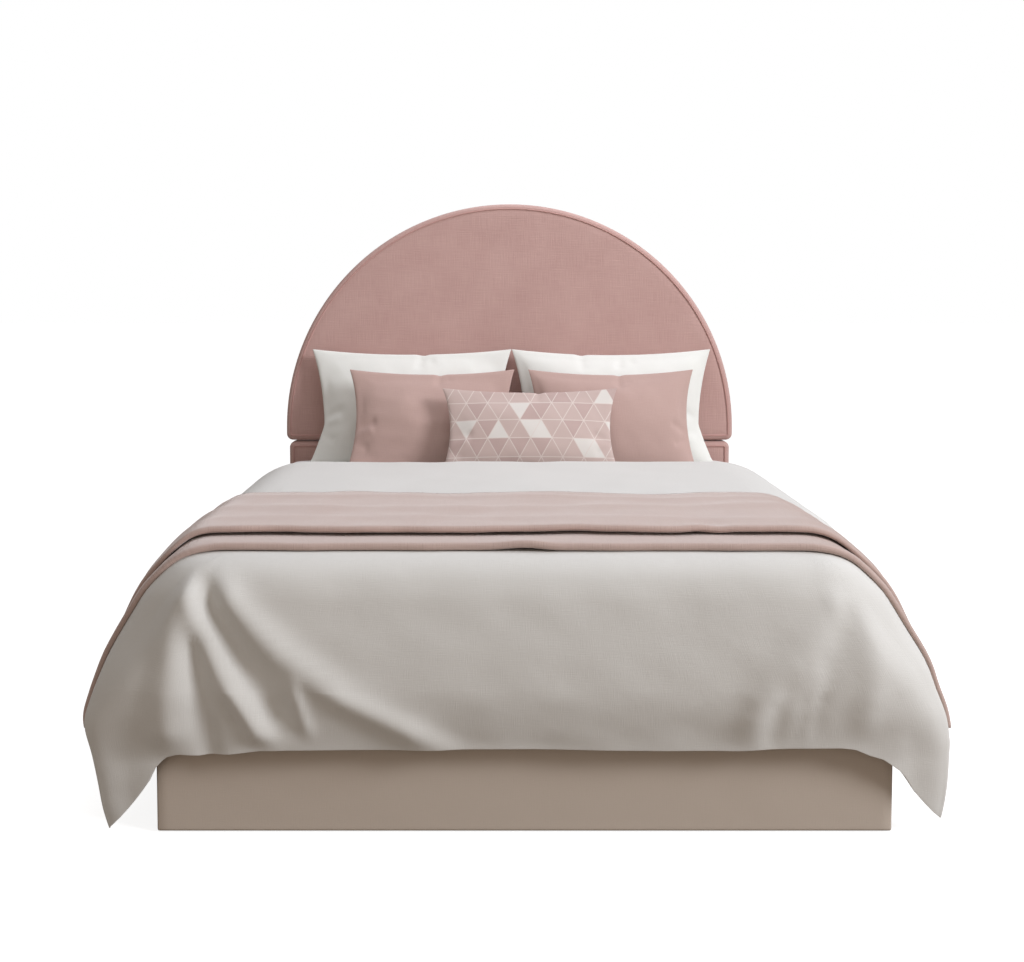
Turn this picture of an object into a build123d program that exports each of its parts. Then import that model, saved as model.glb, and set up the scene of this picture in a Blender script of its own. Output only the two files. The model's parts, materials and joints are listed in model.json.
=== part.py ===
from build123d import *
import os
from math import cos, radians, sin, sqrt

# A double bed with a box base down to the floor and a two-part headboard, made up with its bedding.
# Millimetres. +X is to the right as seen from the foot, +Y towards the head, +Z up. The floor is at zero,
# and the origin is the middle of the whole outline on the floor.

# Mattress and the room round it
mattress_width = 1500
mattress_length = 2000
mattress_height = 250
mattress_corner_radius = 80
mattress_edge_radius = 6
mattress_edge_cut = 10
well_gap = 8
sheet_thickness = 1.5
sheet_turn_under = 80
soft_clearance = 0.3

# Rails and their covers
rail_board = 16
rail_padding = 6
rail_top = 330
head_rail_board = 22
floor_gap = 4
fabric_fold = 2.5
fold_drop = 50
cover_edge_radius = 5

# Slat support
slat_top = 295
slat_thickness = 20
slat_width = 80
slat_count = 12
slat_end_gap = 4
first_slat_gap = 25
ledge_width = 28
ledge_height = 40
beam_width = 40
beam_height = 60
hanger_plate = 2
hanger_seat = 50
hanger_flange = 25
leg_radius = 19
leg_foot_radius = 32
leg_foot_height = 12
leg_plate = 70
leg_plate_thickness = 4
leg_place_shares = (0.17, 0.5, 0.83)
strap_width = 25
strap_thickness = 1.5
strap_place_share = 0.55

# Corner brackets, bolts and glides
bracket_leg = 60
bracket_plate = 3
bracket_low = 70
bracket_height = 130
bracket_gusset = 40
bolt_radius = 4
bolt_clearance = 0.3
bolt_head_radius = 7
bolt_head_height = 4.5
bolt_socket_radius = 2.5
bolt_socket_depth = 2.5
bolt_bite = 12
bolt_place_share = 0.6
bolt_height_shares = (0.22, 0.78)
glide_radius = 9
glide_place_shares = (0.06, 0.5, 0.94)
overrun = 5

# Headboard
headboard_cover = 3
headboard_foam = 46
headboard_board = 18
back_cloth = 1
lower_panel_top = 608
lower_panel_low = 12
panel_gap = 10
dome_radius = 790
dome_straight = 38
panel_corner_radius = 22
panel_corner_least_share = 0.25
dome_corner_share = 0.6
panel_edge_radius = 14
cover_turn = 35
welt_inset = 15
welt_width = 5
welt_height = 3
welt_edge_radius = 1.2
strut_width = 70
strut_depth = 25
strut_place_share = 0.56
strut_top_share = 0.72
strut_bevel = 12
strut_screw_radius = 3
strut_screw_head_radius = 6
strut_screw_head = 3
strut_screw_bite = 14
lower_screw_shares = (0.35, 0.85)
dome_screw_shares = (0.12, 0.52)
head_bolt_place_share = 0.62
head_bolt_heights = (120, 230)
head_bolt_bite = 14

# Duvet
duvet_top = 600
duvet_hem = 198
duvet_tip = 30
duvet_head_gap = 450
duvet_side_reach = 260
duvet_side_fall = 270
duvet_side_set = 100
duvet_foot_radius = 85
duvet_foot_set = 10
duvet_corner_radius = 205
duvet_nose_radius = 34
duvet_nose_set = 60
duvet_nose_least_share = 0.25
duvet_hem_thickness = 22
cavity_corner_radius = 280
cavity_low_corner_radius = 100
cavity_rail_room = 5
cavity_bulge_angle = 58
corner_side_run = 230
corner_foot_run = 200
corner_side_fullness = 5
corner_foot_fullness = 9
corner_reach = 26
corner_growth = 3
foot_hem_start = 745
side_hem_run = 190
shoulder_angles = (0, 18, 36, 54, 72, 90)
corner_angles = (0, 15, 30, 45, 60, 75, 90)
nose_angles = (-10, 30, 70)
middle_share = 0.5
straight_limit = 0.001
# Skirt levels: share of the way down from the shoulder to the tips, then the shares of the corner's
# folded shape, of its reach and of the folds that show at that level
skirt_shares = (
    (0.0, 0.85, 0.6, 0.9),
    (0.2, 1.0, 1.0, 1.0),
    (0.42, 1.0, 0.8, 1.0),
    (0.7, 1.0, 0.1, 1.0),
    (1.0, 0.9, -1.2, 0.8),
)
# Folds of the foot face from left to right: place at the shoulder and at the hem as shares of the
# half width between the corners, and how far each stands out
fold_shoulder_shares = (-0.955, -0.91, -0.86, -0.78, -0.6, 0.6, 0.78, 0.86, 0.91, 0.955)
fold_hem_shares = (-0.88, -0.75, -0.575, -0.295, -0.09, 0.475, 0.647, 0.751, 0.823, 0.889)
fold_reaches = (-9, 10, -9, 10, -3, -3, 10, -9, 8, -8)
# Folds of each side: share of the side's length from the corner, and how far each stands out
side_fold_shares = (0.18, 0.4, 0.62, 0.82)
side_fold_reaches = (-8, 8, -8, 7)

# Throw
throw_layer = 20
throw_lift = 0.5
throw_front_set = 16
throw_fold_set = 92
throw_length = 600
throw_hem = 222
throw_fold_hem = 236
throw_edge_radius = 9

# Pillows and cushions: width, height and thickness
pillow_size = (695, 408, 145)
pillow_lean = 11
pillow_middle = 6
pillow_gap = 1
cushion_size = (555, 342, 122)
cushion_lean = 15
cushion_middle = 37
cushion_gap = 51
lumbar_size = (575, 286, 100)
lumbar_lean = 17
lumbar_place = 62
seat_flat = 10
corner_middle_angle = 45
# Levels of a cushion: share of its half thickness, share of its height drawn in all round, and the
# shares of that level's height for the rounding of its corners and the draw of its sides
cushion_level_shares = (
    (0.0, 0.0, 0.05, 0.045),
    (0.4, 0.03, 0.13, 0.03),
    (0.72, 0.09, 0.24, 0.01),
    (0.93, 0.18, 0.38, -0.01),
    (1.0, 0.3, 0.45, -0.03),
)

# Places worked out from those sizes
well_half = mattress_width / 2 + well_gap
board_half = well_half + rail_board
base_half = board_half + rail_padding
foot_set = rail_padding + rail_board + well_gap
base_length = foot_set + mattress_length + well_gap + head_rail_board
headboard_depth = headboard_cover + headboard_foam + headboard_board + back_cloth + strut_depth
duvet_foot_reach = duvet_foot_radius + duvet_foot_set - foot_set
foot_face = (duvet_foot_reach - base_length - headboard_depth) / 2
board_foot = foot_face + rail_padding
well_foot = board_foot + rail_board
well_head = foot_face + base_length - head_rail_board
headboard_front = foot_face + base_length
board_low = floor_gap + fabric_fold
board_high = rail_top - fabric_fold
mattress_foot = well_foot + well_gap
mattress_low = slat_top + sheet_thickness
mattress_high = mattress_low + mattress_height
bed_top = mattress_high + soft_clearance + sheet_thickness
slat_low = slat_top - slat_thickness
beam_low = slat_low - beam_height
foam_front = headboard_front + headboard_cover
board_front = foam_front + headboard_foam
board_back = board_front + headboard_board
strut_front = board_back + back_cloth
dome_low = lower_panel_top + panel_gap
dome_centre = dome_low + dome_straight
duvet_loft = duvet_top - bed_top - soft_clearance
nose_least = duvet_nose_radius * duvet_nose_least_share
side_line = mattress_width / 2 - duvet_side_set
foot_line = mattress_foot - duvet_foot_set
side_centre = duvet_top - duvet_side_fall
foot_centre = duvet_top - duvet_foot_radius
head_edge = headboard_front - duvet_head_gap
sides = (-1, 1)
pillow_places = [pillow_middle + side * (pillow_size[0] + pillow_gap) / 2 for side in sides]
cushion_places = [cushion_middle + side * (cushion_size[0] + cushion_gap) / 2 for side in sides]


def block(low, high):
    """A box between two opposite corners."""
    size = [b - a for a, b in zip(low, high)]
    middle = [(a + b) / 2 for a, b in zip(low, high)]
    return Pos(*middle) * Box(*size)


def panel_plane(place):
    """Upright plane across the bed, facing the foot."""
    return Plane(origin=(0, place, 0), x_dir=(1, 0, 0), z_dir=(0, -1, 0))


def rod(base, radius, length, direction):
    """A round rod from a base point along a direction."""
    return extrude(Plane(origin=base, z_dir=direction) * Circle(radius), amount=length)


def save(name, *solids):
    """Write one node, from one solid or a group of them."""
    pieces = [solid for shape in solids for solid in shape.solids()]
    shape = pieces[0] if len(pieces) == 1 else Compound(children=pieces)
    export_step(shape, f"parts/{name}.step")
    print(f"{name}: {len(pieces)} solids")


def socket_bolt(seat, direction, length):
    """A button-head bolt: its head stands on the seat point and its shank runs on from there."""
    back = [-part for part in direction]
    head = rod(seat, bolt_head_radius, bolt_head_height, back)
    rim = head.edges().filter_by(GeomType.CIRCLE).sort_by(Axis(seat, back))[-1]
    shank = rod(seat, bolt_radius, length, direction)
    top = [s + b * bolt_head_height for s, b in zip(seat, back)]
    socket = rod(top, bolt_socket_radius, bolt_socket_depth, direction)
    return fillet(rim, bolt_head_height / 2) + shank - socket


# Base: boards, brackets and their bolts
bracket_high = bracket_low + bracket_height
bolt_levels = [bracket_low + bracket_height * share for share in bolt_height_shares]
bolt_out = bracket_leg * bolt_place_share


def corner_seats():
    """Seat point and direction of every corner bolt, on the brackets' inner faces."""
    seats = []
    for side in sides:
        wall = side * (well_half - bracket_plate)
        for end, outward in ((well_foot, -1), (well_head, 1)):
            for level in bolt_levels:
                seats.append(((wall, end - outward * bolt_out, level), (side, 0, 0)))
                face = end - outward * bracket_plate
                seats.append(((side * (well_half - bolt_out), face, level), (0, outward, 0)))
    return seats


bolt_length = bracket_plate + bolt_bite
bolt_holes = [
    rod(seat, bolt_radius + bolt_clearance, bolt_length + bolt_clearance, direction)
    for seat, direction in corner_seats()
]
head_bolt_seats = [
    (side * well_half * head_bolt_place_share, well_head, height)
    for side in sides
    for height in head_bolt_heights
]
head_bolt_length = head_rail_board + headboard_cover + headboard_foam + head_bolt_bite
head_bolt_holes = [
    rod(seat, bolt_radius + bolt_clearance, head_bolt_length + bolt_clearance, (0, 1, 0))
    for seat in head_bolt_seats
]


def bracket(side, end, outward):
    """A pressed steel angle with a top gusset, in one corner of the frame."""
    wall = side * well_half
    reach = wall - side * bracket_leg
    inner = end - outward * bracket_leg
    along = block(
        (min(wall, wall - side * bracket_plate), min(end, inner), bracket_low),
        (max(wall, wall - side * bracket_plate), max(end, inner), bracket_high),
    )
    across = block(
        (min(wall, reach), min(end, end - outward * bracket_plate), bracket_low),
        (max(wall, reach), max(end, end - outward * bracket_plate), bracket_high),
    )
    corner = (wall, end)
    tip_x = (wall - side * bracket_gusset, end)
    tip_y = (wall, end - outward * bracket_gusset)
    web = Plane.XY.offset(bracket_low) * make_face(Polyline(corner, tip_x, tip_y, close=True))
    return along + across + extrude(web, amount=bracket_plate) - bolt_holes


side_boards = [
    block(
        (min(side * well_half, side * board_half), well_foot, board_low),
        (max(side * well_half, side * board_half), headboard_front, board_high),
    )
    - bolt_holes
    for side in sides
]
foot_board = block((-board_half, board_foot, board_low), (board_half, well_foot, board_high)) - bolt_holes
head_board = (
    block((-well_half, well_head, board_low), (well_half, headboard_front, board_high))
    - bolt_holes
    - head_bolt_holes
)


def cover_profile(inner, outer):
    """Section of a rail cover: padded face, top fold down the inside, and the turn under the board."""
    towards = 1 if outer > inner else -1
    board_face = outer - towards * rail_padding
    fold = inner - towards * fabric_fold
    points = (
        (outer, floor_gap),
        (outer, rail_top),
        (fold, rail_top),
        (fold, rail_top - fold_drop),
        (inner, rail_top - fold_drop),
        (inner, board_high),
        (board_face, board_high),
        (board_face, board_low),
        (inner, board_low),
        (inner, floor_gap),
    )
    section = make_face(Polyline(*points, close=True))
    rounded = section.vertices().sort_by(Axis.X if towards > 0 else Axis((0, 0, 0), (-1, 0, 0)))[-2:]
    return fillet(rounded, cover_edge_radius)


def side_cover(side):
    """Cover of one side rail, with the padded strip that closes the corner to the foot face."""
    section = cover_profile(side * well_half, side * base_half)
    length = headboard_front - well_foot
    run = extrude(panel_plane(well_foot) * section, amount=-length)
    strip = block(
        (min(side * board_half, side * base_half), foot_face, floor_gap),
        (max(side * board_half, side * base_half), well_foot, rail_top),
    )
    outer_edges = strip.edges().filter_by(Axis.Y).group_by(Axis.X)[-1 if side > 0 else 0]
    fold = side * (well_half - fabric_fold)
    room = block(
        (min(fold, side * well_half), well_head, floor_gap - overrun),
        (max(fold, side * well_half), headboard_front + overrun, rail_top + overrun),
    )
    return run + fillet(outer_edges, cover_edge_radius) - room


def foot_cover():
    """Cover of the foot rail, between the two side covers."""
    section = cover_profile(well_foot, foot_face)
    plane = Plane(origin=(-board_half, 0, 0), x_dir=(0, 1, 0), z_dir=(1, 0, 0))
    face = extrude(plane * section, amount=board_half * 2)
    inner = well_half - fabric_fold
    outer = board_half + overrun
    low = floor_gap - overrun
    back = well_foot + fabric_fold + overrun
    high = rail_top + overrun
    left_room = block((-outer, well_foot, low), (-inner, back, high))
    right_room = block((inner, well_foot, low), (outer, back, high))
    return face - left_room - right_room


glide_places = [
    (side * (well_half + rail_board / 2), foot_face + base_length * share)
    for side in sides
    for share in glide_place_shares
]
glides = [rod((x, y, 0), glide_radius, floor_gap, (0, 0, 1)) for x, y in glide_places]
glides = [chamfer(glide.edges().group_by(Axis.Z)[0], floor_gap / 3) for glide in glides]


# Slats, their ledges, the centre beam and its legs
def slat_ledge(side):
    """A timber ledge along the inside of one side rail, with its lower inner edge eased."""
    inner = well_half - ledge_width
    ledge = block(
        (min(side * inner, side * well_half), well_foot, slat_low - ledge_height),
        (max(side * inner, side * well_half), well_head, slat_low),
    )
    inner_edges = ledge.edges().filter_by(Axis.Y).group_by(Axis.X)[0 if side > 0 else -1]
    return chamfer(inner_edges.sort_by(Axis.Z)[0], ledge_width / 4)


def slat_places():
    """Place of each slat's middle along the bed."""
    first = well_foot + first_slat_gap + slat_width / 2
    last = well_head - first_slat_gap - slat_width / 2
    return [first + (last - first) * i / (slat_count - 1) for i in range(slat_count)]


def slat(place):
    """One planed timber slat with eased long edges."""
    reach = well_half - slat_end_gap
    board = block((-reach, place - slat_width / 2, slat_low), (reach, place + slat_width / 2, slat_top))
    return fillet(board.edges().filter_by(Axis.X), slat_thickness / 8)


def beam_hanger(end, outward):
    """A folded steel stirrup on an end board: back plate with flanges, two cheeks and a seat."""
    half = beam_width / 2
    low = beam_low - hanger_plate
    back = end - outward * hanger_plate
    tip = end - outward * hanger_seat
    flange = half + hanger_plate + hanger_flange
    plate = block((-flange, min(end, back), low), (flange, max(end, back), slat_low))
    seat = block((-half - hanger_plate, min(end, tip), low), (half + hanger_plate, max(end, tip), beam_low))
    cheeks = [
        block(
            (min(side * half, side * (half + hanger_plate)), min(end, tip), low),
            (max(side * half, side * (half + hanger_plate)), max(end, tip), slat_low - beam_height / 4),
        )
        for side in sides
    ]
    return plate + seat + cheeks


def centre_leg(place):
    """A turned leg: broad foot, tapered neck and a square plate under the beam."""
    top = beam_low - leg_plate_thickness
    neck = leg_foot_height * 2
    outline = Polyline(
        (0, 0),
        (leg_foot_radius - leg_foot_height / 4, 0),
        (leg_foot_radius, leg_foot_height / 4),
        (leg_foot_radius, leg_foot_height),
        (leg_radius, neck),
        (leg_radius, top),
        (0, top),
        close=True,
    )
    post = revolve(Plane.XZ * make_face(outline), Axis.Z)
    half = leg_plate / 2
    plate = block((-half, -half, top), (half, half, beam_low))
    plate = fillet(plate.edges().filter_by(Axis.Z), leg_plate_thickness)
    return Pos(0, place, 0) * (post + plate)


beam = block(
    (-beam_width / 2, well_foot + hanger_plate, beam_low),
    (beam_width / 2, well_head - hanger_plate, slat_low),
)
straps = [
    block(
        (place - strap_width / 2, well_foot + first_slat_gap, slat_low - strap_thickness),
        (place + strap_width / 2, well_head - first_slat_gap, slat_low),
    )
    for place in (side * well_half * strap_place_share for side in sides)
]


# Mattress and its fitted sheet
def mattress_form(swell, drop, edge_radius):
    """The mattress envelope, swelled at the sides and top and dropped at the underside."""
    low = mattress_low - drop
    high = mattress_high + swell
    size = (mattress_width + swell * 2, mattress_length + swell * 2, high - low)
    form = Pos(0, mattress_foot + mattress_length / 2, (low + high) / 2) * Box(*size)
    form = fillet(form.edges().filter_by(Axis.Z), mattress_corner_radius + swell)
    return form if not edge_radius else fillet(
        form.edges().group_by(Axis.Z)[-1] + form.edges().group_by(Axis.Z)[0], edge_radius
    )


def mattress_core(envelope):
    """The mattress inside its edge tapes: the envelope with a cut along the top and bottom edges."""
    square = mattress_form(0, 0, 0)
    rims = square.edges().group_by(Axis.Z)[-1] + square.edges().group_by(Axis.Z)[0]
    return envelope & chamfer(rims, mattress_edge_cut)


def fitted_sheet():
    """A skin over the mattress that turns in under its edges."""
    swell = soft_clearance + sheet_thickness
    outer = mattress_form(swell, sheet_thickness, mattress_edge_radius + sheet_thickness)
    inner = mattress_form(soft_clearance, 0, mattress_edge_radius)
    mouth = Pos(0, mattress_foot + mattress_length / 2, mattress_low) * Box(
        mattress_width - sheet_turn_under * 2, mattress_length - sheet_turn_under * 2, sheet_thickness * 4
    )
    return outer - inner - mouth


mattress_envelope = mattress_form(0, 0, mattress_edge_radius)
mattress = mattress_core(mattress_envelope)
tapes = mattress_envelope - mattress


# Headboard panels
def corner_at(inset):
    """Radius of a panel's rounded corners at an inset from its outline."""
    return max(panel_corner_radius - inset, panel_corner_radius * panel_corner_least_share)


def dome_outline(inset):
    """Half-round outline on a short straight foot with rounded lower corners."""
    reach = dome_radius - inset
    low = dome_low + inset
    corner = min(corner_at(inset), (dome_centre - low) * dome_corner_share)
    return make_face(
        [
            Line((-reach + corner, low), (reach - corner, low)),
            CenterArc((reach - corner, low + corner), corner, -90, 90),
            Line((reach, low + corner), (reach, dome_centre)),
            CenterArc((0, dome_centre), reach, 0, 90),
            CenterArc((0, dome_centre), reach, 90, 90),
            Line((-reach, dome_centre), (-reach, low + corner)),
            CenterArc((-reach + corner, low + corner), corner, 180, 90),
        ]
    )


def lower_outline(inset):
    """Rectangular outline with rounded upper corners."""
    high = lower_panel_top - inset
    low = lower_panel_low + inset
    sheet = Pos(0, (low + high) / 2) * Rectangle((base_half - inset) * 2, high - low)
    return fillet(sheet.vertices().group_by(Axis.Y)[-1], corner_at(inset))


def slab(outline, inset, front, back, edge_radius):
    """A panel layer between two places, with its front edge rounded."""
    body = extrude(panel_plane(back) * outline(inset), amount=back - front)
    return body if not edge_radius else fillet(body.faces().sort_by(Axis.Y)[0].edges(), edge_radius)


def panel_layers(outline, bolt_room):
    """Board, foam, cover, welt and back cloth of one headboard panel, with room for its bolts."""
    cover = headboard_cover
    board = slab(outline, cover, board_front, board_back, 0)
    foam = slab(outline, cover, foam_front, board_front, panel_edge_radius - cover)
    skin = slab(outline, 0, headboard_front, strut_front, panel_edge_radius) - board - foam
    skin -= slab(outline, cover_turn, board_back, strut_front + overrun, 0)
    welt = extrude(
        panel_plane(headboard_front) * (outline(welt_inset) - outline(welt_inset + welt_width)),
        amount=welt_height,
    )
    welt = fillet(welt.faces().sort_by(Axis.Y)[0].edges(), welt_edge_radius)
    cloth = slab(outline, cover_turn, board_back, strut_front, 0)
    if bolt_room:
        board, foam, skin = board - bolt_room, foam - bolt_room, skin - bolt_room
    return board, foam, skin, welt, cloth


strut_high = dome_low + dome_radius * strut_top_share
strut_back = strut_front + strut_depth
strut_places = [side * base_half * strut_place_share for side in sides]
screw_levels = [lower_panel_top * share for share in lower_screw_shares]
screw_levels += [dome_low + dome_radius * share for share in dome_screw_shares]


def strut_screw(place, level):
    """A countersunk screw from the back of a strut into the board in front of it."""
    length = strut_depth + back_cloth + strut_screw_bite
    head = Plane(origin=(place, strut_back, level), z_dir=(0, -1, 0)) * Pos(0, 0, strut_screw_head / 2)
    cone = head * Cone(strut_screw_head_radius, strut_screw_radius, strut_screw_head)
    return cone + rod((place, strut_back, level), strut_screw_radius, length, (0, -1, 0))


screws = [strut_screw(place, level) for place in strut_places for level in screw_levels]


def strut(place):
    """A planed timber strut with a bevelled top, from the floor to the dome."""
    half = strut_width / 2
    post = block((place - half, strut_front, 0), (place + half, strut_back, strut_high))
    top_back = post.edges().filter_by(Axis.X).group_by(Axis.Z)[-1].sort_by(Axis.Y)[-1]
    return chamfer(top_back, strut_bevel) - screws


dome_parts = panel_layers(dome_outline, [])
lower_parts = panel_layers(lower_outline, head_bolt_holes)
dome_board, lower_board = dome_parts[0] - screws, lower_parts[0] - screws
rail_room = block((-base_half, foot_face, 0), (base_half, headboard_front, rail_top + welt_width))
lower_welt = lower_parts[3] - rail_room
dome_cloth, lower_cloth = dome_parts[4] - screws, lower_parts[4] - screws


# Duvet and throw: one drape form, swelled outwards or inwards
def reach_at(reach, fall, centre, height):
    """How far a rounded shoulder stands out at a height: an ellipse above its centre, full below."""
    rise = max(height - centre, 0) / fall
    return reach * sqrt(max(1 - rise * rise, 0))


def blend(near, far, share):
    """A point part of the way from one point to another."""
    return tuple(a + (b - a) * share for a, b in zip(near, far))


def around(centre, radius, angle):
    """A point on a circle, by its angle towards the foot from the side."""
    return (centre[0] + radius * cos(radians(angle)), centre[1] - radius * sin(radians(angle)))


def corner_points(side_x, foot_y, swell, shape, reach):
    """Seven points round one corner, from the side to the foot face: a plain rounding that turns into
    a nose which stands out by the reach, blended by the shape share."""
    round_radius = duvet_corner_radius + swell
    round_centre = (side_x - round_radius, foot_y + round_radius)
    plain = [around(round_centre, round_radius, angle) for angle in corner_angles]
    nose_radius = max(duvet_nose_radius + swell, nose_least)
    nose_centre = (side_x - swell + reach - duvet_nose_radius, foot_y + swell + duvet_nose_set)
    first, peak, last = (around(nose_centre, nose_radius, angle) for angle in nose_angles)
    start = (side_x, foot_y + swell + corner_side_run)
    end = (side_x - swell - corner_foot_run, foot_y)
    side_middle = blend(start, first, middle_share)
    foot_middle = blend(last, end, middle_share)
    folded = [
        start,
        (side_middle[0] + corner_side_fullness, side_middle[1]),
        first,
        peak,
        last,
        (foot_middle[0], foot_middle[1] - corner_foot_fullness),
        end,
    ]
    return [blend(p, q, shape) for p, q in zip(plain, folded)]


def bend(crest, middle, along):
    """The arc from a crest, where it runs along the face, to the middle of the next slope."""
    across = (middle[0] - crest[0]) * along[1] - (middle[1] - crest[1]) * along[0]
    straight = abs(across) < straight_limit
    return Line(crest, middle) if straight else TangentArc(crest, middle, tangent=along)


def wave(points, along):
    """Arcs through the crests and valleys of a run of folds, each leaving along the run."""
    back = tuple(-part for part in along)
    edges = []
    for crest, valley in zip(points, points[1:]):
        middle = blend(crest, valley, middle_share)
        edges += [bend(crest, middle, along), bend(valley, middle, back)]
    return edges


def drape_section(height, swell, shape, reach, fold):
    """Closed outline of the drape at one height, with its corners' shape and its folds as shares."""
    drop = min(max((duvet_top - height) / (duvet_top - duvet_hem), 0), 1)
    foot_radius = duvet_foot_radius + swell
    side_x = side_line + reach_at(duvet_side_reach + swell, duvet_side_fall + swell, side_centre, height)
    foot_y = foot_line - reach_at(foot_radius, foot_radius, foot_centre, height)
    right = corner_points(side_x, foot_y, swell, shape, reach * corner_reach)
    left = [(-x, y) for x, y in reversed(right)]
    start, end = right[0], right[-1]
    shares = blend(fold_shoulder_shares, fold_hem_shares, drop)
    foot = [(end[0] * share, foot_y - out * fold) for share, out in zip(shares, fold_reaches)]
    foot = [end] + foot[::-1] + [left[0]]
    run = head_edge - start[1]
    side = [(side_x, head_edge)] + [
        (side_x + out * fold, start[1] + run * share)
        for share, out in zip(reversed(side_fold_shares), reversed(side_fold_reaches))
    ] + [start]
    edges = wave(side, (0, -1))
    edges += [ThreePointArc(*right[i:i + 3]) for i in (0, 2, 4)]
    edges += wave(foot, (-1, 0))
    edges += [ThreePointArc(*left[i:i + 3]) for i in (0, 2, 4)]
    edges += wave([(-x, y) for x, y in reversed(side)], (0, 1))
    edges.append(Line((-side_x, head_edge), (side_x, head_edge)))
    return Pos(0, 0, height) * make_face(edges)


def drape_form(swell):
    """The drape as one solid, through sections from its top down to its corner tips."""
    sections = []
    for angle in shoulder_angles:
        height = side_centre + (duvet_side_fall + swell) * cos(radians(angle))
        share = angle / shoulder_angles[-1]
        shape, reach, fold = skirt_shares[0][1:]
        growth = share ** corner_growth
        sections.append(drape_section(height, swell, shape * growth, reach * growth, fold * share))
    for share, shape, reach, fold in skirt_shares[1:]:
        height = side_centre - share * (side_centre - duvet_tip)
        sections.append(drape_section(height, swell, shape, reach, fold))
    return loft(sections, ruled=True)


cavity_edge = mattress_width / 2 + sheet_thickness + soft_clearance * 3
cavity_foot = foot_line - duvet_foot_radius + duvet_loft
cavity_hem_side = side_line + duvet_side_reach - duvet_hem_thickness
cavity_hem_foot = foot_line - duvet_foot_radius + duvet_hem_thickness
tip_x = side_line + duvet_side_reach + skirt_shares[-1][2] * corner_reach - nose_least
tip_y = foot_line - duvet_foot_radius + duvet_nose_set
side_hem_start = tip_y + side_hem_run


def hem_cutters():
    """Blocks that take the cloth away below the hem, with slopes down to the corner tips."""
    low = -overrun
    front = foot_face - duvet_foot_radius
    face = make_face(
        Polyline(
            (-tip_x, low),
            (-tip_x, duvet_tip),
            (-foot_hem_start, duvet_hem),
            (foot_hem_start, duvet_hem),
            (tip_x, duvet_tip),
            (tip_x, low),
            close=True,
        )
    )
    foot_cut = extrude(panel_plane(tip_y) * face, amount=tip_y - front)
    flank = make_face(
        Polyline(
            (tip_y, low),
            (tip_y, duvet_tip),
            (side_hem_start, duvet_hem),
            (head_edge + overrun, duvet_hem),
            (head_edge + overrun, low),
            close=True,
        )
    )
    width = (side_line + duvet_side_reach + corner_reach) * 2
    across = Plane(origin=(-width / 2, 0, 0), x_dir=(0, 1, 0), z_dir=(1, 0, 0))
    return [foot_cut, extrude(across * flank, amount=width)]


def cavity():
    """The room under the duvet: a rounded section across, one along and a plan outline, all crossed."""
    high = duvet_top - duvet_loft
    crown = high + overrun
    foot_radius = duvet_foot_radius - duvet_loft
    bulge = radians(cavity_bulge_angle)
    bulge_x = side_line + (duvet_side_reach - duvet_hem_thickness) * sin(bulge)
    bulge_z = side_centre + (duvet_side_fall - duvet_hem_thickness) * cos(bulge)
    across = [
        Line((-cavity_hem_side, -overrun), (cavity_hem_side, -overrun)),
        Line((cavity_hem_side, -overrun), (cavity_hem_side, side_centre)),
        ThreePointArc((cavity_hem_side, side_centre), (bulge_x, bulge_z), (cavity_edge, crown)),
        Line((cavity_edge, crown), (-cavity_edge, crown)),
        ThreePointArc((-cavity_edge, crown), (-bulge_x, bulge_z), (-cavity_hem_side, side_centre)),
        Line((-cavity_hem_side, side_centre), (-cavity_hem_side, -overrun)),
    ]
    back = head_edge + overrun
    along = [
        Line((cavity_hem_foot, -overrun), (cavity_hem_foot, duvet_hem)),
        Line((cavity_hem_foot, duvet_hem), (cavity_foot, foot_centre)),
        CenterArc((foot_line, foot_centre), foot_radius, 90, 90),
        Line((foot_line, high), (back, high)),
        Line((back, high), (back, -overrun)),
        Line((back, -overrun), (cavity_hem_foot, -overrun)),
    ]
    plan_half = cavity_hem_side + overrun
    plan_foot = cavity_hem_foot - overrun
    plan = Pos(0, (plan_foot + back) / 2) * Rectangle(plan_half * 2, back - plan_foot)
    corners = plan.vertices().group_by(Axis.Y)[0]
    upper_plan = fillet(corners, cavity_corner_radius)
    lower_plan = fillet(corners, cavity_low_corner_radius)
    lengthways = extrude(panel_plane(back) * make_face(across), amount=back - cavity_hem_foot)
    side_plane = Plane(origin=(-cavity_hem_side, 0, 0), x_dir=(0, 1, 0), z_dir=(1, 0, 0))
    crossways = extrude(side_plane * make_face(along), amount=cavity_hem_side * 2)
    upright = Pos(0, 0, -overrun) * extrude(upper_plan, amount=high + overrun)
    upright += Pos(0, 0, -overrun) * extrude(lower_plan, amount=rail_top + cavity_rail_room + overrun)
    return lengthways & crossways & upright


def duvet():
    """The quilt: the drape form less the room under it and the cloth below its hem."""
    return drape_form(0) - cavity() - hem_cutters()


def throw_band(front, high, low):
    """The stretch of the bed that one layer of the throw covers, with a rounded fold at its top front."""
    half = side_line + duvet_side_reach + corner_reach + throw_layer * 4
    band = block((-half, front, low), (half, foot_face + throw_front_set + throw_length, high))
    fold = band.edges().filter_by(Axis.X).group_by(Axis.Z)[-1].sort_by(Axis.Y)[0]
    return fillet(fold, throw_edge_radius)


def throw():
    """Two layers of cloth over the foot of the duvet, the upper one set back."""
    under = throw_lift + throw_layer
    over = under + throw_layer
    front = foot_face + throw_front_set
    lower = drape_form(under) & throw_band(front, duvet_top + under, throw_hem)
    upper = drape_form(over) & throw_band(front + throw_fold_set, duvet_top + over, throw_fold_hem)
    return lower + upper - drape_form(throw_lift)


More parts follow.
